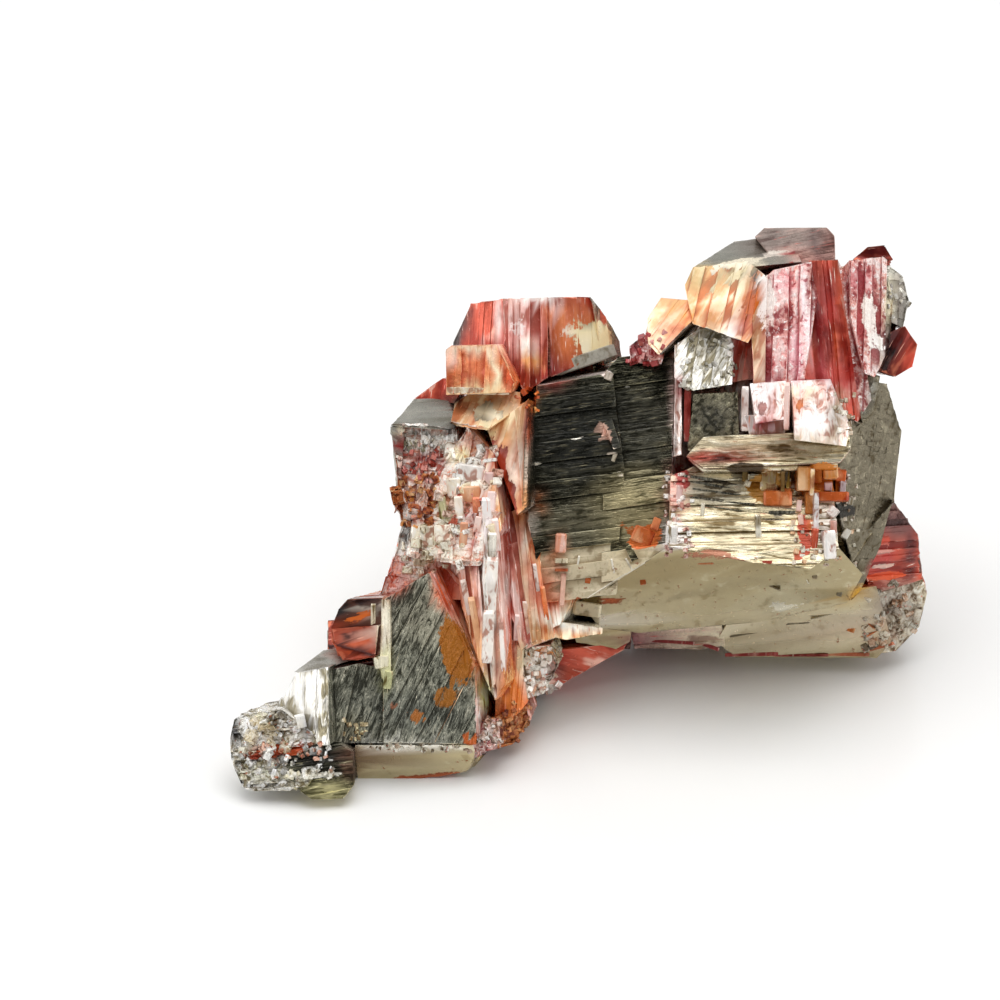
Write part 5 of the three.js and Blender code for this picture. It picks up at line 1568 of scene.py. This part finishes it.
    def cut_edges(self) -> None:
        """Puts points on the edges between faces, where the steps of either face meet them.

        Each edge is first cut into even stretches. Along a stretch the place across the steps, less its
        sway, runs nearly straight from one value to another, and every riser's foot or top between the two
        gives a point at the matching share of the stretch.
        """
        a, b = self.points[self.edge[:, 0]], self.points[self.edge[:, 1]]
        length = np.linalg.norm(b - a, axis=1)
        parts = np.maximum(np.ceil(length / STRAIGHT), 1).astype(int)
        edge, piece = count_off(parts)
        low, high = piece / parts[edge], (piece + 1) / parts[edge]
        found_edge, found_share = [edge[piece > 0]], [low[piece > 0]]
        ends = [a[edge] + (b - a)[edge] * share[:, None] for share in (low, high)]
        for side in (0, 1):
            faces = self.edge_faces[edge, side]
            for number, habit in enumerate(self.habits):
                mine = np.flatnonzero((self.habit[faces] == number) & (self.area[faces] > self.least_area))
                if not len(mine):
                    continue
                (s0, t0), (s1, t1) = (self.local(faces[mine], e[mine]) for e in ends)
                for values, rows in (
                    ((t0 - habit.sway(s0, t0), t1 - habit.sway(s1, t1)), habit.rows()),
                    ((s0, s1), habit.columns() if habit.blocks else np.zeros(0)),
                ):
                    first = np.searchsorted(rows, np.minimum(*values))
                    many = np.searchsorted(rows, np.maximum(*values)) - first
                    which, nth = count_off(many)
                    row = rows[first[which] + nth]
                    share = (row - values[0][which]) / (values[1] - values[0])[which]
                    at = mine[which]
                    found_edge.append(edge[at])
                    found_share.append(low[at] + (high - low)[at] * share)
        edge, share = np.concatenate(found_edge), np.concatenate(found_share)
        along = share * length[edge]
        inside = (along > CLOSEST) & (length[edge] - along > CLOSEST)
        edge, share, along = edge[inside], share[inside], along[inside]
        slot = np.stack([edge, np.round(along / CLOSEST).astype(int)], 1)
        keep = np.unique(slot, axis=0, return_index=True)[1]
        edge, share, along = edge[keep], share[keep], along[keep]
        order = np.lexsort((along, edge))
        edge, share, along = edge[order], share[order], along[order]
        near = np.append(False, (np.diff(along) < CLOSEST / 2) & (np.diff(edge) == 0))
        edge, share = edge[~near], share[~near]
        self.samples = a[edge] + (b - a)[edge] * share[:, None]
        self.sample_edge = edge

    def outlines(self) -> None:
        """Lists the stretches of every face's outline, each with its face on its left."""
        many = np.bincount(self.sample_edge, minlength=len(self.edge))
        first = len(self.points) + np.cumsum(many) - many
        # stretches of each edge in its own direction: corner, samples, corner
        edge, k = count_off(many + 1)
        left = np.where(k == 0, self.edge[edge, 0], first[edge] + k - 1)
        right = np.where(k == many[edge], self.edge[edge, 1], first[edge] + k)
        halves, which, owner = self.half_edge
        number = np.full(len(self.between), -1)
        number[self.between] = np.arange(self.between.sum())
        half = np.flatnonzero(number[which] >= 0)
        number = number[which[half]]
        forward = halves[half, 0] == self.edge[number, 0]
        span, step = count_off(many[number] + 1)
        stretch = (np.cumsum(many + 1) - (many + 1))[number][span] + step
        starts = np.where(forward[span], left[stretch], right[stretch])
        ends = np.where(forward[span], right[stretch], left[stretch])
        triangle = owner[half][span]
        face = self.face_of[triangle]
        order = np.argsort(face, kind="stable")
        self.outline = np.stack([starts, ends, edge[stretch], triangle], 1)[order]
        self.outline_face = face[order]
        self.all_points = np.concatenate([self.points, self.samples])

    def fill(self) -> None:
        """Meshes every face between its outline and the points along its steps."""
        count = len(self.area)
        bounds = np.searchsorted(self.outline_face, np.arange(count + 1))
        by_face = np.argsort(self.face_of, kind="stable")
        tri_bounds = np.searchsorted(self.face_of[by_face], np.arange(count + 1))
        added, added_face, added_rim, triangles, triangle_face = [], [], [], [], []
        total = len(self.all_points)
        fans = 0
        for face in range(count):
            outline = self.outline[bounds[face] : bounds[face + 1]]
            inner, rim = self._inner(face, outline)
            made = self._mesh(face, outline, inner, total)
            if made is None:
                fans += 1
                inner, rim, made = self._fan(by_face[tri_bounds[face] : tri_bounds[face + 1]], outline, total)
            added.append(inner)
            added_face.append(np.full(len(inner), face))
            added_rim.append(rim)
            triangles.append(made)
            triangle_face.append(np.full(len(made), face))
            total += len(inner)
        self.inner = np.concatenate(added)
        self.inner_face = np.concatenate(added_face)
        self.new_tri = np.concatenate(triangles)
        self.new_face = np.concatenate(triangle_face)
        LOG.info("%d faces, %d meshed plainly, %d triangles", count, fans, len(self.new_tri))

    def _inner(self, face: int, outline: Ints) -> tuple[Floats, NDArray[np.bool_]]:
        """Points inside a face: a rim along its ridges, and rows along its steps.

        Args:
            face: the face.
            outline: the stretches of its outline.

        Returns:
            The points, and which of them are the rim.
        """
        nothing = np.zeros((0, 3)), np.zeros(0, bool)
        if self.area[face] < self.least_area or self.floor_face[face]:
            return nothing
        along, across, normal = self.along[face], self.across[face], self.normal[face]
        a, b = self.all_points[outline[:, 0]], self.all_points[outline[:, 1]]
        a2, b2 = (np.stack([p @ along, p @ across], 1) for p in (a, b))
        level = float(self.centre[face] @ normal)
        # rim: from each point of a convex edge, along the steps where they cross the edge, else square to it
        way = unit(b2 - a2)
        inward = np.stack([-way[:, 1], way[:, 0]], 1)
        slant = np.abs(inward[:, 0]) > SLANT
        push = np.where(
            slant[:, None],
            np.stack([np.sign(inward[:, 0]) / np.maximum(np.abs(inward[:, 0]), SLANT), 0 * slant], 1),
            inward,
        )
        rim = a2 + push * BEVEL
        rim = rim[self.convex[outline[:, 2]]]
        grid = self.habits[self.habit[face]].lattice(a2.min(0), a2.max(0))
        rim_kept = self._within(rim, a2, b2, BEVEL * 0.8)
        grid_kept = self._within(grid, a2, b2, BEVEL * 1.5)
        flat = np.concatenate([rim[rim_kept], grid[grid_kept]])
        if not len(flat):
            return nothing
        return (
            flat[:, :1] * along + flat[:, 1:] * across + level * normal,
            np.arange(len(flat)) < rim_kept.sum(),
        )

    @staticmethod
    def _within(points: Floats, a: Floats, b: Floats, margin: float) -> NDArray[np.bool_]:
        """Which flat points lie inside an outline, at least a margin from it.

        A point is inside if a line from it crosses the outline an odd number of times. Its distance from
        each stretch is that to the nearest place on the stretch.

        Args:
            points: flat points.
            a: where each stretch of the outline starts.
            b: where it ends.
            margin: mm.

        Returns:
            True for each point that does.
        """
        kept = np.zeros(len(points), bool)
        if not len(points):
            return kept
        run = b - a
        long = np.maximum((run**2).sum(1), 1e-12)
        for part in np.array_split(np.arange(len(points)), max(1, len(points) * len(a) // BATCH + 1)):
            p = points[part][:, None, :]
            straddles = (a[:, 1] > p[..., 1]) != (b[:, 1] > p[..., 1])
            slope = np.where(run[:, 1] == 0, 1e-12, run[:, 1])
            crossing = a[:, 0] + (p[..., 1] - a[:, 1]) * run[:, 0] / slope
            inside = (straddles & (p[..., 0] < crossing)).sum(1) % 2 == 1
            share = np.clip(((p - a) * run).sum(-1) / long, 0, 1)
            gap = np.linalg.norm(p - (a + share[..., None] * run), axis=-1).min(1)
            kept[part] = inside & (gap > margin)
        return kept

    def _mesh(self, face: int, outline: Ints, inner: Floats, total: int) -> Ints | None:
        """Triangles of a face, or None where its outline can't be meshed exactly.

        The flat points are joined by a constrained Delaunay mesh, with the face shortened along its steps
        so that triangles follow them. Triangles that can be reached from the inner side of the outline
        without crossing it are kept, if together they cover the area that the outline encloses.

        Args:
            face: the face.
            outline: the stretches of its outline.
            inner: the points inside it.
            total: how many points come before the inner ones.

        Returns:
            The triangles, or None.
        """
        ids, local = np.unique(outline[:, :2], return_inverse=True)
        local = local.reshape(-1, 2)
        places = np.concatenate([self.all_points[ids], inner])
        squeeze = 1.0 if self.habits[self.habit[face]].blocks else SQUEEZE
        flat = np.stack([places @ self.along[face] * squeeze, places @ self.across[face]], 1)
        corners, _, triangles, *_ = delaunay_2d_cdt(flat.tolist(), local.tolist(), [], 0, 1e-7, False)
        if len(corners) != len(flat) or not triangles:
            return None
        tri = np.array(triangles, np.int64)
        count = len(flat)
        sides = np.stack([tri, np.roll(tri, -1, 1)], -1).reshape(-1, 2)
        code, twin = sides @ (count, 1), sides @ (1, count)
        wall = local @ (count, 1)
        order = np.argsort(code)
        other = order[np.minimum(np.searchsorted(code[order], twin), len(code) - 1)]
        open_side = (code[other] == twin) & ~np.isin(code, wall) & ~np.isin(twin, wall)
        owner = np.repeat(np.arange(len(tri)), 3)
        group = same_group(len(tri), owner[open_side], owner[other[open_side]])
        tri = tri[np.isin(group, group[owner[np.isin(code, wall)]])]
        sides = np.stack([tri, np.roll(tri, -1, 1)], -1).reshape(-1, 2)
        code, twin = sides @ (count, 1), sides @ (1, count)
        if not np.array_equal(np.sort(code[~np.isin(code, twin)]), np.sort(wall)):
            return None
        a, b, c = flat[tri[:, 0]], flat[tri[:, 1]], flat[tri[:, 2]]
        start, stop = flat[local[:, 0]], flat[local[:, 1]]
        covered = 0.5 * np.abs(np.cross(b - a, c - a)).sum()
        enclosed = 0.5 * (start[:, 0] * stop[:, 1] - start[:, 1] * stop[:, 0]).sum()
        if abs(covered - enclosed) > 0.01 * enclosed + 1e-4:
            return None
        number = np.concatenate([ids, total + np.arange(len(inner))])
        return number[tri]

    def _fan(self, members: Ints, outline: Ints, total: int) -> tuple[Floats, NDArray[np.bool_], Ints]:
        """Meshes a face by a fan from the middle of each of its own triangles.

        Args:
            members: the face's triangles in the solid.
            outline: the stretches of its outline.
            total: how many points come before the middles.

        Returns:
            The middles, which of them are a rim, and the triangles.
        """
        middles = self.points[self.tri[members]].mean(1)
        made = []
        for number, member in enumerate(members):
            stretches = outline[outline[:, 3] == member][:, :2]
            corners = self.tri[member]
            sides = np.stack([corners, np.roll(corners, -1)], 1)
            cut = {tuple(sorted(self.edge[e])) for e in outline[outline[:, 3] == member][:, 2]}
            plain = [side for side in sides if tuple(sorted(side)) not in cut]
            rim = np.concatenate([stretches, np.array(plain, np.int64).reshape(-1, 2)])
            made.append(np.column_stack([rim, np.full(len(rim), total + number)]))
        return middles, np.zeros(len(middles), bool), np.concatenate(made)

    def settle(self) -> Floats:
        """Sinks every point by the growth steps and rounds the edges.

        A point inside a face moves along its normal. A point on an edge moves so that it meets the sunken
        planes of all its faces as nearly as it can: the smallest move d that solves n.d = h for each face's
        normal n and height h, in the least-squares sense. No move is longer than one and a half times the
        greatest of the heights, so the tips of thin wedges keep their place.

        Returns:
            All points, in the display frame.
        """
        pair = np.unique(
            np.stack([self.outline[:, :2].ravel(), np.repeat(self.outline_face, 2)], 1), axis=0
        )
        point, face = pair[:, 0], pair[:, 1]
        height = self.sunk(face, self.all_points[point])
        rounded = np.ones(len(self.all_points), bool)
        np.logical_and.at(rounded, self.outline[:, :2].ravel(), np.repeat(self.convex[self.outline[:, 2]], 2))
        nick = ripple(*(self.all_points[point][:, [0, 2]].T / 0.7), 41)
        edge_wear_and_highlight = ROUNDING * (1 + 0.5 * nick + 4 * np.maximum(nick - 0.25, 0) ** 2)
        grounded = np.zeros(len(self.all_points), bool)
        grounded[: len(self.points)] = self.on_floor
        grounded[len(self.points) :] = self.on_floor[self.edge[self.sample_edge]].all(1)
        height = height - edge_wear_and_highlight * rounded[point]
        height[grounded[point]] = 0
        normal = self.normal[face]
        left = np.tile(np.eye(3) * HOLD, (len(self.all_points), 1, 1))
        right = np.zeros((len(self.all_points), 3))
        np.add.at(left, point, normal[:, :, None] * normal[:, None, :])
        np.add.at(right, point, normal * height[:, None])
        deepest = np.zeros(len(self.all_points))
        np.maximum.at(deepest, point, np.abs(height))
        move = np.linalg.solve(left, right[:, :, None])[:, :, 0]
        length = np.linalg.norm(move, axis=1)
        moved = self.all_points + move * np.minimum(1, FARTHEST * deepest / np.maximum(length, 1e-9))[:, None]
        inner = self.inner + self.normal[self.inner_face] * self.sunk(self.inner_face, self.inner)[:, None]
        return np.concatenate([moved, inner])

    def build(self, name: str) -> bpy.types.Object:
        """Makes the piece, with its materials, grain map, shade and stains.

        Args:
            name: of the piece.

        Returns:
            The mesh object.
        """
        places = self.settle()
        mesh = bpy.data.meshes.new(name)
        standing = to_row(places)
        standing[:, 2] = np.maximum(standing[:, 2], 0)
        mesh.from_pydata((standing * MM).tolist(), [], self.new_tri.tolist())
        corners = self.new_tri.ravel()
        faces = np.repeat(self.new_face, 3)
        s, t = self.local(faces, places[corners])
        grain = mesh.uv_layers.new(name="Grain")
        offset = scatter(faces, faces * 0, 77) * 9
        grain.data.foreach_set("uv", np.stack([s + offset, t], 1).ravel().astype(np.float32))
        write_layer(mesh, "Shade", "FACE", 0.86 + 0.28 * scatter(self.new_face, self.new_face * 0, 5))
        self._paint(mesh, places)
        mesh.polygons.foreach_set("material_index", self.skin[self.new_face].astype(np.int32))
        for skin in Skin:
            mesh.materials.append(skin.value.material())
        mesh.polygons.foreach_set("use_smooth", np.ones(len(mesh.polygons), bool))
        mesh.set_sharp_from_angle(angle=SHARP)
        mesh.validate()
        return link(name, mesh)

    def _paint(self, mesh: bpy.types.Mesh, places: Floats) -> None:
        """Writes the tints, the stains and the fold, which is 1 on a ridge, -1 in a crease and 0 inside a
        face.

        The materials paint a highlight on the ridges and shade in the creases from the fold.

        Args:
            mesh: the piece's mesh.
            places: of its points, in the display frame.
        """
        at, normals = places[self.new_tri.ravel()] / GRID, self.normal[np.repeat(self.new_face, 3)]
        film, stain = np.zeros((len(at), 4)), np.zeros((len(at), 4))
        for region in self.regions:
            region.paint(at, normals, film, stain)
        write_layer(mesh, "Film", "CORNER", film)
        write_layer(mesh, "Stain", "CORNER", stain)
        fold, times = np.zeros(len(places)), np.zeros(len(places))
        np.add.at(fold, self.outline[:, :2].ravel(), np.repeat(self.fold[self.outline[:, 2]], 2))
        np.add.at(times, self.outline[:, :2].ravel(), 1)
        write_layer(mesh, "Edge", "POINT", fold / np.maximum(times, 1))


# ---- Small crystals ----

CUT = 0.16  # share of a small crystal's half width that its cut edges take
OUTSIDE = 60  # squares of depth that clear the whole specimen
FIRST_SEED = 100  # of the first scatter


def cut_box() -> tuple[Floats, Ints]:
    """A box from -1 to 1 with its edges and corners cut off.

    Each of the eight corners gives three points, one on each of its faces: the corner with all but one
    coordinate shortened by the cut. Points that share a side, an edge or a corner make its face.

    Returns:
        The points, and the corners of the triangles, outside out.
    """
    signs = np.array([(x, y, z) for x in (-1, 1) for y in (-1, 1) for z in (-1, 1)], float)
    points = (signs[:, None, :] * (1 - CUT * (1 - np.eye(3)))).reshape(-1, 3)
    axis = np.tile(np.arange(3), 8)
    corner = np.repeat(signs, 3, 0)
    rings = [(axis == a) & (corner[:, a] == side) for a in range(3) for side in (-1, 1)]
    rings += [
        (axis != c) & (corner[:, a] == p) & (corner[:, b] == q)
        for a, b, c in ((0, 1, 2), (1, 2, 0), (2, 0, 1))
        for p in (-1, 1)
        for q in (-1, 1)
    ]
    rings += [(corner == sign).all(1) for sign in signs]
    triangles = []
    for ring in map(np.flatnonzero, rings):
        out = unit(points[ring].mean(0))
        side = unit(points[ring[0]] - points[ring].mean(0))
        away = points[ring] - points[ring].mean(0)
        turn = np.arctan2(away @ np.cross(out, side), away @ side)
        ring = ring[np.argsort(turn)]
        triangles += [(ring[0], ring[k], ring[k + 1]) for k in range(1, len(ring) - 1)]
    return points, np.array(triangles)


@dataclass
class Druse:
    """The small crystals, set on the cluster's faces and sunk into them.

    Attributes:
        regions: the sub-assemblies that carry them.
        depth: mm from front to back of each crystal, besides what stands out.
        cover: share of each crystal's finish that its own colour takes.
    """

    regions: list[Region]
    depth: float = 0.7
    cover: float = 0.75

    def build(self, name: str, cluster: bpy.types.Object) -> bpy.types.Object:
        """Makes one mesh of all the small crystals.

        Every crystal is the cut box, scaled to its size, tipped and turned by small random angles and the
        turn of its own, and moved to where a line square to the display face meets the cluster.

        Args:
            name: of the piece.
            cluster: the crystals' ground, whose materials they share.

        Returns:
            The mesh object.
        """
        chosen = [nugget for region in self.regions for nugget in region.nuggets]
        for number, sprinkle in enumerate(s for region in self.regions for s in region.sprinkles):
            chosen += sprinkle.nuggets(FIRST_SEED + number)
        ground = BVHTree.FromObject(cluster, bpy.context.evaluated_depsgraph_get())
        count = len(chosen)
        place, size = np.zeros((count, 3)), np.zeros((count, 3))
        held = np.zeros(count, bool)
        for number, nugget in enumerate(chosen):
            way = -1.0 if nugget.rear else 1.0
            start = to_row(np.array([nugget.x, -OUTSIDE * way, nugget.z]) * GRID) * MM
            line = to_row(np.array([0.0, way, 0.0])) - to_row(np.zeros(3))
            hit, normal, *_ = ground.ray_cast(Vector(start), Vector(line))
            if hit is None or abs(np.array(normal) @ line) < 0.5:
                continue
            held[number] = True
            wide, tall = nugget.wide * GRID / 2, nugget.tall * GRID / 2
            deep = min(self.depth, 1.6 * min(wide, tall) + 0.15)
            size[number] = wide, deep, tall
            place[number] = to_display(np.array(hit) / MM) + [0, way * (deep - nugget.proud * GRID), 0]
        chosen = [nugget for nugget, kept in zip(chosen, held) if kept]
        place, size, count = place[held], size[held], int(held.sum())
        draw = np.random.default_rng(7)
        turn = np.radians([nugget.turn for nugget in chosen])
        tip, sway = draw.uniform(-1, 1, (2, count)) * np.radians([nugget.tip for nugget in chosen])
        spin = self._turn(turn, 1) @ self._turn(tip, 0) @ self._turn(sway, 2)
        box, triangles = cut_box()
        points = np.einsum("nij,nkj->nki", spin, box[None] * size[:, None]) + place[:, None]
        corners = (triangles[None] + len(box) * np.arange(count)[:, None, None]).reshape(-1, 3)
        mesh = bpy.data.meshes.new(name)
        standing = to_row(points.reshape(-1, 3))
        standing[:, 2] = np.maximum(standing[:, 2], 0)
        mesh.from_pydata((standing * MM).tolist(), [], corners.tolist())
        flat = box[triangles] * size[:, None, None]
        grain = mesh.uv_layers.new(name="Grain")
        shift = draw.uniform(0, 9, (count, 1, 1, 2))
        grain.data.foreach_set("uv", (flat[..., [2, 0]] + flat[..., [1]] + shift).ravel().astype(np.float32))
        each = len(triangles)
        write_layer(mesh, "Shade", "FACE", np.repeat(draw.uniform(0.85, 1.15, count), each))
        film = np.array([(*linear(nugget.colour)[:3], self.cover) for nugget in chosen])
        write_layer(mesh, "Film", "CORNER", np.repeat(film, each * 3, 0))
        write_layer(mesh, "Stain", "CORNER", np.zeros((len(corners) * 3, 4)))
        write_layer(mesh, "Edge", "POINT", np.zeros(len(standing)))
        finishes = list(Skin)
        index = np.repeat([finishes.index(nugget.skin) for nugget in chosen], each)
        mesh.polygons.foreach_set("material_index", index.astype(np.int32))
        for material in cluster.data.materials:
            mesh.materials.append(material)
        return link(name, mesh)

    @staticmethod
    def _turn(angle: Floats, axis: int) -> Floats:
        """Rotation matrices.

        Args:
            angle: one for each matrix.
            axis: 0, 1 or 2 for x, y or z.

        Returns:
            The matrices.
        """
        made = np.tile(np.eye(3), (len(angle), 1, 1))
        a, b = (axis + 1) % 3, (axis + 2) % 3
        made[:, a, a] = made[:, b, b] = np.cos(angle)
        made[:, a, b], made[:, b, a] = -np.sin(angle), np.sin(angle)
        return made


# ---- Studio ----

SIDES = 96  # of the round floor
FLAG = radians(38)  # height of the black flag's middle over the horizon
FLAG_INNER, FLAG_OUTER = radians(20), radians(38)  # from its middle: darkest to the first, gone by the second


@dataclass
class Studio:
    """A pale floor with a raised rim, soft lights and the camera.

    Attributes:
        view: squares from the display face to the camera.
        aim: squares across and up the display face at the middle of the view.
        lens: mm.
        floor_radius: mm.
        rim_height: mm by which the floor's edge sweeps up.
    """

    view: float = 500.0
    aim: tuple[float, float] = (-8.0, 0.0)
    lens: float = 180.0
    floor_radius: float = 760.0
    rim_height: float = 150.0

    def camera(self) -> None:
        """Sets the camera square to the display face."""
        data = bpy.data.cameras.new("Camera")
        data.lens = self.lens
        data.clip_start, data.clip_end = 0.01, 10.0
        made = link("Camera", data)
        place = np.array([self.aim[0], -self.view, self.aim[1]]) * GRID
        made.location = to_row(place) * MM
        made.rotation_euler = (radians(90) - LEAN, 0, 0)
        bpy.context.scene.camera = made

    def floor(self) -> None:
        """Makes the floor: a disc whose edge sweeps up in a quarter circle.

        The profile runs out flat and then along an arc; turned about Z it gives rings of points.
        """
        flat = np.linspace(0, self.floor_radius - self.rim_height, 8)
        turn = np.linspace(0, np.pi / 2, 13)[1:]
        radius = np.concatenate([flat, flat[-1] + self.rim_height * np.sin(turn)])
        height = np.concatenate([flat * 0, self.rim_height * (1 - np.cos(turn))])
        around = np.linspace(0, 2 * np.pi, SIDES, endpoint=False)
        rings = np.stack(
            [
                np.outer(radius, np.cos(around)),
                np.outer(radius, np.sin(around)),
                np.repeat(height[:, None], len(around), 1),
            ],
            -1,
        )
        rows, columns = np.meshgrid(np.arange(len(radius) - 1), np.arange(len(around)), indexing="ij")
        after = (columns + 1) % len(around)
        near, far = rows * SIDES, (rows + 1) * SIDES
        corner = [near + columns, far + columns, far + after, near + after]
        mesh = bpy.data.meshes.new("Floor")
        mesh.from_pydata(
            (rings.reshape(-1, 3) * MM).tolist(), [], np.stack(corner, -1).reshape(-1, 4).tolist()
        )
        mesh.polygons.foreach_set("use_smooth", np.ones(len(mesh.polygons), bool))
        material = bpy.data.materials.new("White acrylic floor")
        material.use_nodes = True
        shader = material.node_tree.nodes["Principled BSDF"]
        shader.inputs["Base Color"].default_value = linear("#f4f4f3")
        shader.inputs["Roughness"].default_value = 0.16
        shader.inputs["Specular IOR Level"].default_value = 0.4
        mesh.materials.append(material)
        made = link("Floor", mesh)

    def panel(
        self, name: str, way: tuple, distance: float, size: tuple, level: float, mirrored: bool = True
    ) -> None:
        """Adds a rectangular softbox that looks at the specimen.

        Args:
            name: of the light.
            way: direction from the specimen to it, in the row frame.
            distance: mm.
            size: mm, width and height.
            level: its brightness as seen in a mirror, where a white page in full light is 1.
            mirrored: whether shiny faces show it.
        """
        data = bpy.data.lights.new(name, "AREA")
        data.shape = "RECTANGLE"
        data.size, data.size_y = size[0] * MM, size[1] * MM
        data.energy = level * np.pi * data.size * data.size_y
        made = link(name, data)
        direction = Vector(way).normalized()
        made.location = direction * distance * MM
        made.rotation_euler = direction.to_track_quat("Z", "Y").to_euler()
        made.visible_glossy = mirrored

    def sky(self) -> None:
        """Makes the room: pale all round, dark where the camera stands, as behind a black flag."""
        world = bpy.data.worlds.new("Studio room")
        bpy.context.scene.world = world
        world.use_nodes = True
        world.node_tree.nodes.clear()
        node = partial(add_node, world.node_tree)
        way = node("TexCoord", output="Generated")
        flag = (0.0, -cos(FLAG), sin(FLAG))
        level, clear = (
            node("MapRange", dict(zip(RANGE, row)), interpolation_type="SMOOTHSTEP")
            for row in (
                (node("SeparateXYZ", {0: way}, "Z"), 0.0, 0.9, 0.95, 0.55),
                (
                    node("VectorMath", {0: way, 1: flag}, "Value", operation="DOT_PRODUCT"),
                    cos(FLAG_INNER),
                    cos(FLAG_OUTER),
                    0.015,
                    1.0,
                ),
            )
        )
        strength = node("Math", {0: clear, 1: level}, operation="MULTIPLY")
        node("OutputWorld", {"Surface": node("Background", {"Strength": strength, "Color": "#ffffff"})})

    def build(self) -> None:
        """Sets up the floor, the lights, the room, the camera and the view's tone."""
        self.floor()
        self.sky()
        self.panel("Top softbox", (0.0, -0.1, 1.0), 520, (420, 420), 1.8)
        self.panel("Left softbox", (-1.0, -0.15, 0.45), 560, (260, 300), 1.9)
        self.panel("Right softbox", (1.0, -0.5, 0.5), 600, (200, 300), 1.7)
        self.panel("Floor light", (0.0, 0.0, 1.0), 900, (1000, 1000), 1.1, mirrored=False)
        self.camera()
        bpy.context.scene.view_settings.view_transform = "Standard"


# ---- The specimen ----


def attach(piece: bpy.types.Object) -> None:
    """Fixes a piece to the specimen's body."""
    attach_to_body(piece, "root")


def main() -> None:
    """Builds the specimen and the studio."""
    regions = [Back(), Heel(), Toe(), Foreleg(), Flank(), Spine(), LeftCrown(), Heart(), RightCrown(), Bow()]
    surface = CrystalSurface(regions)
    surface.read(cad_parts[NODE])
    surface.dress()
    surface.cut_edges()
    surface.outlines()
    surface.fill()
    cluster = surface.build("pyrite_crystals")
    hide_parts(NODE)
    attach(cluster)
    LOG.info("crystals: %d triangles", len(cluster.data.polygons))
    grains = Druse(regions).build("pyrite_grains", cluster)
    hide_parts(NODE)
    attach(grains)
    LOG.info("small crystals: %d triangles", len(grains.data.polygons))
    Studio().build()


if __name__ == "__main__":
    main()
